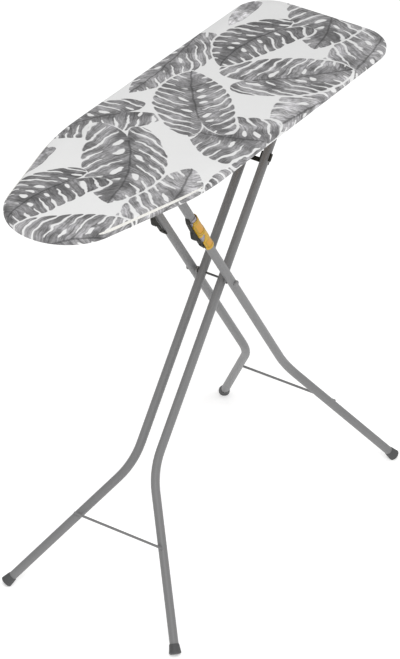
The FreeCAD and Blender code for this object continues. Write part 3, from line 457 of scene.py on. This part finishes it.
def leaf_group():
    """Node group: a split leaf with slits between its lobes and holes beside its midrib."""
    tree = bpy.data.node_groups.new("split_leaf", "ShaderNodeTree")
    add_socket(tree, "Place", "INPUT", "NodeSocketVector")
    numbers = ("x", "y", "heading", "length", "left", "right", "bow", "back", "lobes", "lean",
               "tone", "seed")
    for name in numbers:
        add_socket(tree, name, "INPUT")
    for name in ("Mask", "Shade", "Halo"):
        add_socket(tree, name, "OUTPUT")
    entry = tree.nodes.new("NodeGroupInput")
    given = {name: Wire(tree, entry.outputs[name]) for name in numbers}
    place = Wire(tree, entry.outputs["Place"])
    along, across = leaf_axes(tree, place, given)
    mask, shade, halo = leaf_mask(tree, place, along, across, given)
    out = tree.nodes.new("NodeGroupOutput")
    join(tree, mask, out.inputs["Mask"])
    join(tree, shade, out.inputs["Shade"])
    join(tree, halo, out.inputs["Halo"])
    return tree


def leaf_axes(tree, place, given):
    """The place along the midrib, as a share of its length, and across it, in millimetres."""
    x, y, _ = split(tree, place)
    off_x = x - given["x"]
    off_x = off_x - (off_x / PRINT_PERIOD).nearest() * PRINT_PERIOD
    off_y = y - given["y"]
    cosine = given["heading"].cosine()
    sine = given["heading"].sine()
    along = (off_x * cosine + off_y * sine) / given["length"]
    across = off_y * cosine - off_x * sine
    return along, across - given["bow"] * along * (1.0 - along) * 4.0


def leaf_outline(along, across, given):
    """The leaf's half width on this side, and the place's, the edge's and the base's share of it.

    The last is the inner edge of the rounded base, which is 0 ahead of the stalk.
    """
    half = given["right"] + (given["left"] - given["right"]) * across.over(0.0)
    reach = across.size() / half
    ahead = along.clamped()
    width = (1.0 - ahead).power(TIP_POWER) * (ahead * BULGE + 1.0) * FULLNESS
    behind = (along * -1.0 / given["back"]).clamped()
    round_off = (1.0 - behind * behind).root() * 0.5
    return half, reach, width * (round_off + 0.5), width * (0.5 - round_off)


def leaf_lobes(tree, place, along, across, half, reach, given):
    """The place's rank among the lobes, how far it is from a lobe's middle, and a random number.

    The number is the same all over a lobe.
    """
    to_left = across.over(0.0)
    lean = given["lean"] * half / given["length"]
    vein = along - reach * lean * VEIN_LEAN - reach * reach * lean * VEIN_CURVE
    wobble = (noise(tree, place, WOBBLE_SCALE, 2.0) - 0.5) * VEIN_WOBBLE
    rank = vein * given["lobes"] + to_left * SIDE_STEP + given["seed"] + wobble
    chance = add_node(tree, "ShaderNodeTexWhiteNoise", "Value",
                      settings={"noise_dimensions": "1D"}, W=rank.whole() + to_left * SIDE_SEED)
    return rank, (rank.fraction() - 0.5).size(), chance


def leaf_cuts(along, share, off, chance):
    """1 in the slits between the lobes and in the holes beside the midrib."""
    holed = chance.ramp(0.40, 0.42)
    split_from = holed * SLIT_PAST_HOLE + chance * SLIT_START_SPREAD + SLIT_START
    narrow = 1.0 - share.ramp(0.75, 1.0) * SLIT_NARROWING
    spread = chance * SLIT_WIDTH_SPREAD + SLIT_WIDTH
    opening = (share - split_from).most(0.0).power(SLIT_POWER) * spread * narrow
    slit = 1.0 - (off - opening).ramp(-0.03, 0.05)
    slit = slit * (share - split_from).ramp(0.0, 0.04)
    hole_off = off / HOLE_HALF_LENGTH
    hole_in = (share - HOLE_PLACE) / HOLE_HALF_WIDTH
    hole = (1.0 - (hole_off * hole_off + hole_in * hole_in).ramp(0.7, 1.3)) * holed
    return slit.most(hole * (1.0 - along.ramp(0.60, 0.66)))


def leaf_shading(tree, along, across, share, rank, off, has_lobes, given):
    """Brush streaks along the veins, darker at the midrib, the core and the rim."""
    brush = add_node(tree, "ShaderNodeCombineXYZ", "Vector", X=rank * BRUSH[0],
                     Y=share * BRUSH[1], Z=given["seed"] * BRUSH[2])
    streak = noise(tree, brush, 1.0, 3.0, 0.65)
    rib = 1.0 - across.size().ramp(0.8, 2.6)
    rib = rib * along.ramp(-0.02, 0.0) * has_lobes
    lobe_vein = (1.0 - (0.5 - off).ramp(0.0, 0.06)) * has_lobes
    core = (1.0 - share.ramp(0.0, 0.55)) * CORE_DARKNESS
    rim_pool = share.ramp(0.82, 1.0) * RIM_DARKNESS
    shade = given["tone"] * (streak.ramp(0.25, 0.75) * STREAK_GAIN + STREAK_BASE)
    shade = shade * (1.0 - core) * (1.0 - rim_pool) * (1.0 - rib * RIB_DARKNESS)
    return shade * (1.0 - lobe_vein * VEIN_DARKNESS)


def leaf_mask(tree, place, along, across, given):
    """The leaf's mask, 1 inside it and 0 in its cuts and outside, its shading and its halo.

    The halo is the leaf with a narrow border of bare cloth, which parts it from the leaves below.
    """
    half, reach, width, low_edge = leaf_outline(along, across, given)
    share = reach / width.most(LEAST_WIDTH)
    rank, off, chance = leaf_lobes(tree, place, along, across, half, reach, given)
    has_lobes = given["lobes"].over(0.5)
    cut = leaf_cuts(along, share, off, chance) * has_lobes
    past_base = (along + given["back"]).over(0.0)
    scallop = (1.0 - off * 2.0).power(SCALLOP_POWER) * SCALLOP_DEPTH * has_lobes
    inside = (width * (1.0 - scallop) - reach).ramp(0.0, 0.03) * past_base
    notch = (reach - low_edge).ramp(-0.03, -0.005)
    halo = (width + HALO_WIDTH - reach).ramp(0.0, 0.03) * (reach - low_edge).ramp(-0.08, -0.04)
    halo = halo * past_base * (1.02 - along).ramp(0.0, 0.02)
    shade = leaf_shading(tree, along, across, share, rank, off, has_lobes, given)
    return inside * (1.0 - cut) * notch, shade, halo


def leaf_print(tree, place_mm):
    """The base colour of the printed cloth: grey watercolour leaves on off-white."""
    drift = noise(tree, place_mm, 0.028, 3.0, output="Color")
    shift = tree.nodes.new("ShaderNodeVectorMath")
    shift.operation = "MULTIPLY_ADD"
    join(tree, drift, shift.inputs[0])
    shift.inputs[1].default_value = EDGE_DRIFT
    join(tree, place_mm, shift.inputs[2])
    place = Wire(tree, shift.outputs[0])
    group = leaf_group()
    wash = noise(tree, place_mm, 0.020, 5.0, 0.62)
    stain = noise(tree, place_mm, 0.075, 4.0, 0.7)
    paper = mix_colours(tree, wash, *PAPER)
    wash_gain = wash.ramp(0.36, 0.64) * WASH_GAIN + WASH_BASE
    stain_gain = stain.ramp(0.3, 0.7) * STAIN_GAIN + STAIN_BASE
    colour = paper
    for number, leaf in enumerate(LEAVES):
        node = tree.nodes.new("ShaderNodeGroup")
        node.node_tree = group
        join(tree, place, node.inputs["Place"])
        for name, value in leaf.items():
            node.inputs[name].default_value = math.radians(value) if name == "heading" else value
        node.inputs["seed"].default_value = number * SEED_STEP
        mask, shade, halo = (Wire(tree, node.outputs[name]) for name in ("Mask", "Shade", "Halo"))
        shade = shade * wash_gain * stain_gain
        grey = add_node(tree, "ShaderNodeCombineXYZ", "Vector", X=shade, Y=shade * 0.985,
                        Z=shade * (stain * 0.10 + 0.96))
        colour = mix_colours(tree, halo * HALO_COVER, colour, paper)
        colour = mix_colours(tree, mask * INK_COVER, colour, grey)
    return colour


def printed_cotton():
    """Plain-weave cotton with the leaf print, read from where each point lay on the flat cloth."""
    material, tree, shader = new_material("printed_cotton", Roughness=0.86, Sheen_Weight=0.12,
                                          Sheen_Roughness=0.5, Specular_IOR_Level=0.25)
    flat = add_node(tree, "ShaderNodeAttribute", "Vector",
                    settings={"attribute_name": "flat_place"})
    join(tree, leaf_print(tree, flat), shader.inputs["Base Color"])
    x, y, _ = split(tree, flat)
    thread = 2.0 * math.pi / THREAD
    slub = noise(tree, flat, 0.6, 3.0)
    wander = noise(tree, flat, 0.11, 2.0) * WEAVE_WANDER
    over = (x * thread + wander).sine() * (y * thread + wander).sine()
    join(tree, slub * 0.14 + 0.78, shader.inputs["Roughness"])
    join(tree, bump(tree, over * WEAVE_DEPTH + slub, 0.00007), shader.inputs["Normal"])
    return material


# ---------------------------------------------------------------- the board's outline


def board_outline(low_x, high_x, half_width, count):
    """Evenly spaced points round the board's edge and their outward normals, from the tail on."""
    lean, cosine = math.sin(TAPER), math.cos(TAPER)
    nose_x = low_x + NOSE_RADIUS
    shoulder_y = half_width - SHOULDER_RADIUS
    gap = cosine * shoulder_y + SHOULDER_RADIUS - NOSE_RADIUS
    shoulder_x = nose_x + gap / lean
    tail = Vector((high_x - TAIL_RADIUS, half_width - TAIL_RADIUS))
    right_angle = math.pi / 2
    half = [(Vector((high_x, 0.0)), Vector((1.0, 0.0)))]
    half += arc_points(tail, TAIL_RADIUS, 0.0, right_angle)
    half += arc_points(Vector((shoulder_x, shoulder_y)), SHOULDER_RADIUS, right_angle,
                       right_angle + TAPER)
    half += arc_points(Vector((nose_x, 0.0)), NOSE_RADIUS, right_angle + TAPER, math.pi)
    other = [(Vector((p.x, -p.y)), Vector((n.x, -n.y))) for p, n in reversed(half[1:-1])]
    return resample(half + other, count)


def arc_points(centre, radius, start, end, steps=48):
    """Points and outward normals along an arc."""
    points = []
    for step in range(steps + 1):
        angle = start + (end - start) * step / steps
        normal = Vector((math.cos(angle), math.sin(angle)))
        points.append((centre + normal * radius, normal))
    return points


def resample(loop, count):
    """A closed loop of points and normals at even spacing, as two arrays."""
    points = np.array([tuple(p) for p, _ in loop + loop[:1]])
    normals = np.array([tuple(n) for _, n in loop + loop[:1]])
    lengths = np.concatenate([[0.0], np.cumsum(np.linalg.norm(np.diff(points, axis=0), axis=1))])
    places = np.linspace(0.0, lengths[-1], count, endpoint=False)
    even = np.stack([np.interp(places, lengths, points[:, k]) for k in (0, 1)], axis=1)
    facing = np.stack([np.interp(places, lengths, normals[:, k]) for k in (0, 1)], axis=1)
    return even, facing / np.linalg.norm(facing, axis=1, keepdims=True)


def spine_of(points, low_x, high_x):
    """The point of the board's middle line that each rim point is joined to."""
    left, right = low_x + NOSE_RADIUS, high_x - TAIL_RADIUS
    share = (points[:, 0] - points[:, 0].min()) / np.ptp(points[:, 0])
    return np.stack([left + (right - left) * share, np.zeros(len(points))], axis=1)


def ripple(count, waves, seed):
    """A smooth closed wave round the rim, from a few harmonics, mostly between -1 and 1."""
    chance = np.random.default_rng(seed)
    turn = np.linspace(0.0, 2.0 * math.pi, count, endpoint=False)
    wave = sum(np.sin(turn * n + chance.uniform(0.0, 2.0 * math.pi)) for n in waves)
    return wave / math.sqrt(len(waves))


# ---------------------------------------------------------------- cloth pieces


def mesh_object(name, points, faces, material, flat=None):
    """A smooth object. flat says where each point lay on the flat cloth, in millimetres."""
    mesh = bpy.data.meshes.new(name)
    mesh.from_pydata([tuple(p) for p in points], [], faces)
    mesh.update()
    if flat is not None:
        layer = mesh.attributes.new("flat_place", "FLOAT_VECTOR", "POINT")
        layer.data.foreach_set("vector", np.asarray(flat, dtype=float).ravel())
    mesh.polygons.foreach_set("use_smooth", [True] * len(mesh.polygons))
    mesh.materials.append(material)
    piece = bpy.data.objects.new(name, mesh)
    bpy.context.scene.collection.objects.link(piece)
    return piece


def ring_faces(rings, count):
    """Quads between neighbouring rings, outermost ring last."""
    faces = []
    for ring in range(rings - 1):
        for place in range(count):
            after = (place + 1) % count
            low, high = ring * count, (ring + 1) * count
            faces.append((low + place, low + after, high + after, high + place))
    return faces


def close_middle(piece):
    """Welds the two halves of the innermost ring together along the middle line."""
    mesh = bmesh.new()
    mesh.from_mesh(piece.data)
    bmesh.ops.remove_doubles(mesh, verts=mesh.verts, dist=WELD)
    bmesh.ops.recalc_face_normals(mesh, faces=mesh.faces)
    mesh.to_mesh(piece.data)
    mesh.free()


def inner_rings(spine, edge, count):
    """Rings from the middle line outwards, ending one step short of the edge."""
    return [spine + (edge - spine) * (ring / count) for ring in range(count)]


def at_height(ring, height):
    """A ring's points at one height."""
    return [(x, y, height) for x, y in ring]


def laid_flat(ring, shift=0.0):
    """A ring's points on the flat cloth, in millimetres, moved across it by a shift."""
    return [(x / MM, y / MM + shift, 0.0) for x, y in ring]


def subdivide(piece):
    """Rounds a piece's facets off."""
    smooth = piece.modifiers.new("round", "SUBSURF")
    smooth.levels = smooth.render_levels = 1


def swell(piece, pinned, pressure, cap, frames=20):
    """Blows a piece up a little with the cloth solver, moving no point by more than cap."""
    rest = points_of(piece.data)
    group = piece.vertex_groups.new(name="pinned")
    group.add([int(i) for i in pinned], 1.0, "REPLACE")
    cloth = piece.modifiers.new("cloth", "CLOTH")
    settings = cloth.settings
    settings.quality = 4
    settings.mass = 0.3
    settings.tension_stiffness = 25.0
    settings.compression_stiffness = 25.0
    settings.bending_stiffness = 2.0
    settings.use_pressure = True
    settings.uniform_pressure_force = pressure
    settings.vertex_group_mass = "pinned"
    settings.effector_weights.gravity = 0.0
    cloth.collision_settings.use_collision = False
    cloth.point_cache.frame_start = 1
    cloth.point_cache.frame_end = frames
    scene = bpy.context.scene
    for number in range(1, frames + 1):
        scene.frame_set(number)
    blown = points_of(piece.evaluated_get(bpy.context.evaluated_depsgraph_get()).data)
    piece.modifiers.remove(cloth)
    piece.vertex_groups.remove(group)
    scene.frame_set(1)
    move = blown - rest
    reach = np.linalg.norm(move, axis=1, keepdims=True)
    move *= np.minimum(1.0, cap / np.maximum(reach, 1e-9))
    write_points(piece.data, rest + move)


def points_of(mesh):
    """A mesh's points, one to a row."""
    flat = np.empty(len(mesh.vertices) * 3)
    mesh.vertices.foreach_get("co", flat)
    return flat.reshape(-1, 3)


def write_points(mesh, points):
    """Moves a mesh's points to new places."""
    mesh.vertices.foreach_set("co", points.ravel())
    mesh.update()


def cover_profile(drop):
    """(inset, depth below the top, length of cloth from the rim's rounding) of each edge ring."""
    rows = []
    for step in range(RIM_STEPS + 1):
        angle = math.pi / 2 * step / RIM_STEPS
        rows.append((RIM_ROUND * (1.0 - math.sin(angle)), RIM_ROUND * (1.0 - math.cos(angle)),
                     RIM_ROUND * angle))
    run = rows[-1][2]
    for depth in (*(RIM_ROUND + step for step in SIDE_STEPS), drop - UNDER_ROUND):
        rows.append((0.0, depth, run + depth - RIM_ROUND))
    run = rows[-1][2]
    for step in range(1, UNDER_STEPS + 1):
        angle = math.pi / 2 * step / UNDER_STEPS
        rows.append((UNDER_ROUND * (1.0 - math.cos(angle)),
                     drop - UNDER_ROUND * (1.0 - math.sin(angle)), run + UNDER_ROUND * angle))
    run = rows[-1][2]
    flat_end = HEM_WIDTH - 2.0 * CASING_RADIUS
    for share in HEM_SHARES:
        inset = UNDER_ROUND + (flat_end - UNDER_ROUND) * share
        rows.append((inset, drop, run + inset - UNDER_ROUND))
    return rows


def cover_rings(rim, facing, low, high):
    """The cover's points, ring by ring from the middle line to the hem, and their flat places."""
    rows = cover_profile(high.z - low.z - UNDER_GAP)
    gathers = np.abs(ripple(RIM_POINTS, *GATHERS) * GATHER_DEPTH)
    slack = np.maximum(ripple(RIM_POINTS, *SLACK) * SLACK_DEPTH, 0.0)[:, None]
    start = rim - facing * rows[0][0]
    points, flat = [], []
    for ring in inner_rings(spine_of(rim, low.x, high.x), start, TOP_RINGS):
        points += at_height(ring, high.z)
        flat += laid_flat(ring)
    for inset, depth, run in rows:
        side = turned = 0.0
        if inset < UNDER_ROUND:
            side = math.sin(math.pi * min(1.0, depth / (high.z - low.z)))
        if depth > RIM_ROUND:
            turned = max(0.0, (inset - UNDER_ROUND) / (HEM_WIDTH - UNDER_ROUND))
        ring = rim - facing * inset - facing * slack * side
        height = high.z - depth + gathers * turned
        points += [(x, y, z) for (x, y), z in zip(ring, height)]
        flat += laid_flat(start + facing * run)
    return points, flat


def make_cover(material):
    """The printed cover: taut top, soft rim, and a hem gathered under the board by its casing."""
    low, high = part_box("fabric_cover")
    rim, facing = board_outline(low.x, high.x, high.y, RIM_POINTS)
    points, flat = cover_rings(rim, facing, low, high)
    faces = ring_faces(len(points) // RIM_POINTS, RIM_POINTS)
    piece = mesh_object("printed_cover", points, faces, material, flat)
    close_middle(piece)
    heights = points_of(piece.data)[:, 2]
    swell(piece, np.flatnonzero(heights < high.z - COVER_FREE), COVER_PRESSURE, COVER_SWELL)
    subdivide(piece)
    thick = piece.modifiers.new("cloth_thickness", "SOLIDIFY")
    thick.thickness = CLOTH_THICKNESS
    thick.offset = -1.0
    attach(piece, "board")
    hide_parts("fabric_cover")
    return piece, rim, facing


def make_casing(rim, facing, height, material):
    """The narrow rolled casing that ends the hem under the board."""
    points, flat = [], []
    wander = ripple(RIM_POINTS, *CASING_WANDER) * CASING_WANDER_DEPTH
    for side in range(CASING_SIDES):
        angle = 2.0 * math.pi * side / CASING_SIDES
        out = math.cos(angle) * CASING_RADIUS
        up = math.sin(angle) * CASING_RADIUS
        inset = HEM_WIDTH - CASING_RADIUS - out + wander
        ring = rim - facing * inset[:, None]
        points += at_height(ring, height + CASING_RADIUS + up)
        flat += laid_flat(ring, CASING_PRINT_STEP * side)
    faces = ring_faces(CASING_SIDES, RIM_POINTS)
    last = (CASING_SIDES - 1) * RIM_POINTS
    for place in range(RIM_POINTS):
        after = (place + 1) % RIM_POINTS
        faces.append((last + place, last + after, after, place))
    piece = mesh_object("hem_casing", points, faces, material, flat)
    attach(piece, "board")
    return piece


def make_pad(material):
    """The foam pad: a flat closed form with a rounded upper edge, pressed a little by the cover."""
    low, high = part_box("foam_pad")
    count = RIM_POINTS // 2
    rim, facing = board_outline(low.x, high.x, high.y, count)
    spine = spine_of(rim, low.x, high.x)
    top = high.z - PAD_SINK
    points = []
    for ring in inner_rings(spine, rim - facing * PAD_INSET, PAD_TOP_RINGS):
        points += at_height(ring, top)
    for step in range(PAD_ROUND_STEPS + 1):
        angle = math.pi / 2 * step / PAD_ROUND_STEPS
        ring = rim - facing * PAD_ROUND * (1.0 - math.sin(angle))
        points += at_height(ring, top - PAD_ROUND * (1.0 - math.cos(angle)))
    for ring in (rim, *reversed(inner_rings(spine, rim, PAD_TOP_RINGS))):
        points += at_height(ring, low.z)
    faces = ring_faces(len(points) // count, count)
    piece = mesh_object("pressed_foam_pad", points, faces, material)
    close_middle(piece)
    heights = points_of(piece.data)[:, 2]
    swell(piece, np.flatnonzero(heights < top - PAD_FREE), PAD_PRESSURE, PAD_SWELL)
    subdivide(piece)
    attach(piece, "board")
    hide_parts("foam_pad")
    return piece


def flat_area(rim, facing, run):
    """Area of the cloth as cut: the board's outline grown by what goes down the side and under."""
    grown = rim + facing * run
    after = np.roll(grown, -1, axis=0)
    return 0.5 * abs(float(np.sum(grown[:, 0] * after[:, 1] - grown[:, 1] * after[:, 0])))


# ---------------------------------------------------------------- floor, light and camera


def make_floor():
    """A wide pale floor, just below the feet."""
    mesh = bpy.data.meshes.new("studio_floor")
    corners = [(x * FLOOR_HALF, y * FLOOR_HALF, -FLOOR_DROP)
               for x, y in ((-1, -1), (1, -1), (1, 1), (-1, 1))]
    mesh.from_pydata(corners, [], [(0, 1, 2, 3)])
    material, tree, shader = new_material("floor_paper", Roughness=0.9, Specular_IOR_Level=0.1,
                                          Emission_Color=(1.0, 1.0, 1.0, 1.0),
                                          Emission_Strength=FLOOR_GLOW)
    place = object_place(tree)
    tone = mix_colours(tree, noise(tree, place, 3.0), (0.93, 0.93, 0.93), (0.95, 0.95, 0.95))
    join(tree, tone, shader.inputs["Base Color"])
    open_below(tree, shader)
    mesh.materials.append(material)
    floor = bpy.data.objects.new("studio_floor", mesh)
    bpy.context.scene.collection.objects.link(floor)


def open_below(tree, shader):
    """Lets the object be seen, and lit, through the floor from below."""
    back = add_node(tree, "ShaderNodeNewGeometry", "Backfacing")
    clear = tree.nodes.new("ShaderNodeBsdfTransparent")
    mix = tree.nodes.new("ShaderNodeMixShader")
    join(tree, back, mix.inputs[0])
    tree.links.new(shader.outputs[0], mix.inputs[1])
    tree.links.new(clear.outputs[0], mix.inputs[2])
    tree.links.new(mix.outputs[0], tree.nodes["Material Output"].inputs["Surface"])


def make_light(name, place, target, size, power):
    """A round lamp that faces its target."""
    light = bpy.data.lights.new(name, "AREA")
    light.shape = "DISK"
    light.size = size
    light.energy = power
    lamp = bpy.data.objects.new(name, light)
    lamp.location = place
    lamp.rotation_euler = (Vector(target) - Vector(place)).to_track_quat("-Z", "Y").to_euler()
    bpy.context.scene.collection.objects.link(lamp)


def make_world():
    """Plain white light from all round."""
    world = bpy.data.worlds.new("studio")
    world.use_nodes = True
    background = world.node_tree.nodes["Background"]
    background.inputs["Color"].default_value = (1.0, 1.0, 1.0, 1.0)
    background.inputs["Strength"].default_value = SKY_STRENGTH
    bpy.context.scene.world = world


def make_camera():
    """The camera of the fitted view."""
    camera = bpy.data.cameras.new("photo_camera")
    camera.lens = VIEW_LENS
    camera.sensor_width = VIEW_SENSOR
    camera.sensor_fit = "AUTO"
    camera.clip_end = VIEW_END
    forward = Vector((math.cos(VIEW_PITCH) * math.cos(VIEW_YAW),
                      math.cos(VIEW_PITCH) * math.sin(VIEW_YAW), -math.sin(VIEW_PITCH)))
    right = forward.cross(Vector((0.0, 0.0, 1.0))).normalized()
    up = right.cross(forward)
    across = right * math.cos(VIEW_ROLL) + up * math.sin(VIEW_ROLL)
    upward = up * math.cos(VIEW_ROLL) - right * math.sin(VIEW_ROLL)
    turn = Matrix((across, upward, -forward)).transposed().to_4x4()
    holder = bpy.data.objects.new("photo_camera", camera)
    holder.matrix_world = Matrix.Translation(VIEW_AIM - forward * VIEW_DISTANCE) @ turn
    bpy.context.scene.collection.objects.link(holder)
    bpy.context.scene.camera = holder


# ---------------------------------------------------------------- finishes of the CAD nodes


def dress_nodes():
    """Gives each CAD node the finish of its record slot."""
    looks = {
        "panel_board": pressed_board(),
        "foam": foam_look(),
        "grey_paint": painted_tube(),
        "zinc_steel": bright_steel("zinc_look", (0.30, 0.31, 0.32), (0.44, 0.45, 0.46), 0.34),
        "bright_rod": bright_steel("bright_rod_look", (0.45, 0.45, 0.46), (0.58, 0.58, 0.59), 0.22,
                                   DRAWN_ALONG_Y),
        "dark_rod": bright_steel("dark_rod_look", (0.10, 0.10, 0.10), (0.17, 0.17, 0.17), 0.40,
                                 DRAWN_ALONG_Y),
        "spring_steel": bright_steel("spring_look", (0.30, 0.30, 0.31), (0.48, 0.48, 0.49), 0.30),
        "grey_rubber": moulded_plastic("foot_cap_look", (0.052, 0.053, 0.055),
                                       (0.078, 0.079, 0.081), 0.55),
        "black_plastic": moulded_plastic("black_plastic_look", (0.006, 0.006, 0.004),
                                         (0.015, 0.015, 0.010), 0.50,
                                         Specular_IOR_Level=0.28),
        "mauve_plastic": moulded_plastic("liner_look", (0.27, 0.25, 0.285), (0.34, 0.32, 0.36),
                                         0.42),
        "yellow_plastic": yellow_plastic(),
    }
    for node in frame["nodes"].values():
        for slot in node.material_slots:
            key = slot.material.name.split(".")[0] if slot.material else ""
            if key in looks:
                slot.material = looks[key]
    return looks


def leg_axes(tree):
    """Millimetres up the right outer leg from the pivot, out from its underside, and out to -Y."""
    slide = next(joint for joint in frame["joints"] if joint["name"] == "release_slide")
    cross = next(joint for joint in frame["joints"] if joint["name"] == "cross_pivot")
    down = Vector(slide["axis"])
    pivot = Vector(cross["pos_m"])
    under = Vector((down.z, 0.0, -down.x))
    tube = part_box("rod_shuttle")
    middle_y = (tube[0].y + tube[1].y) / 2.0
    x, y, z = split(tree, object_place(tree))
    off_x, off_z = x - pivot.x, z - pivot.z
    up = (off_x * -down.x + off_z * -down.z) / MM
    below = (off_x * under.x + off_z * under.z) / MM
    return up, below, (middle_y - y) / MM


def band(value, low, high, soft=0.6):
    """1 between low and high and 0 outside, with soft ends."""
    return value.ramp(low - soft, low + soft) * (1.0 - value.ramp(high - soft, high + soft))


def panels_of(up, below, border):
    """1 in the grip's two sunk panels, each grown by a border."""
    low_panel, high_panel = (
        band(up, start - border, end + border) * band(below, inner - border, outer + border)
        for (start, end), (inner, outer) in PANELS)
    return low_panel.most(high_panel)


def yellow_plastic():
    """The grip's yellow: deeper orange in its two sunk panels, paler on the rims between them.

    Painted shade darkens a band round the panels' sunk edges and the grooves of the two seams.
    """
    material, tree, shader = new_material("yellow_plastic_look", Specular_IOR_Level=0.35)
    place = object_place(tree)
    up, below, side = leg_axes(tree)
    flow = noise(tree, place, 60.0, 4.0)
    panel = panels_of(up, below, 0.0) * side.ramp(2.0, 4.0)
    # A band round the sunk panels' edges that gets painted shade
    panel_edge_shade = panels_of(up, below, PANEL_SHADE_WIDTH) * side.ramp(1.0, 3.0) - panel
    # The two seams across the grip, sunk by the bump and darkened with painted shade
    low_seam, high_seam = (band(up, *seam, 0.4) for seam in SEAMS)
    seam = low_seam.most(high_seam)
    base = mix_colours(tree, flow, (0.50, 0.285, 0.004), (0.60, 0.365, 0.010))
    base = mix_colours(tree, panel * 0.85, base, (0.58, 0.275, 0.012))
    # Painted shade: dark brown round the panels' sunk edges, near black in the seams' grooves
    base = mix_colours(tree, panel_edge_shade.clamped() * 0.45, base, (0.20, 0.115, 0.006))
    base = mix_colours(tree, seam * 0.65, base, (0.10, 0.070, 0.006))
    base = mix_colours(tree, edge_wear(tree, PLASTIC_EDGE) * WEAR, base, (0.72, 0.50, 0.12))
    join(tree, base, shader.inputs["Base Color"])
    join(tree, flow * 0.12 + 0.34, shader.inputs["Roughness"])
    grain = noise(tree, place, PLASTIC_GRAIN, 2.0)
    join(tree, bump(tree, grain * 0.04 - panel * 0.7 - seam * 0.6, 0.0006),
         shader.inputs["Normal"])
    return material


# ---------------------------------------------------------------- the scene

bpy.context.scene.view_settings.view_transform = "Standard"
make_world()
make_camera()
make_floor()
LOOKS = dress_nodes()
COTTON = printed_cotton()
COVER, RIM, FACING = make_cover(COTTON)
CASING = make_casing(RIM, FACING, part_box("fabric_cover")[0].z, COTTON)
PAD = make_pad(LOOKS["foam"])

CUT = RIM + FACING * OVER_EDGE
flat_area(RIM, FACING, OVER_EDGE)

for lamp in LAMPS:
    make_light(*lamp)
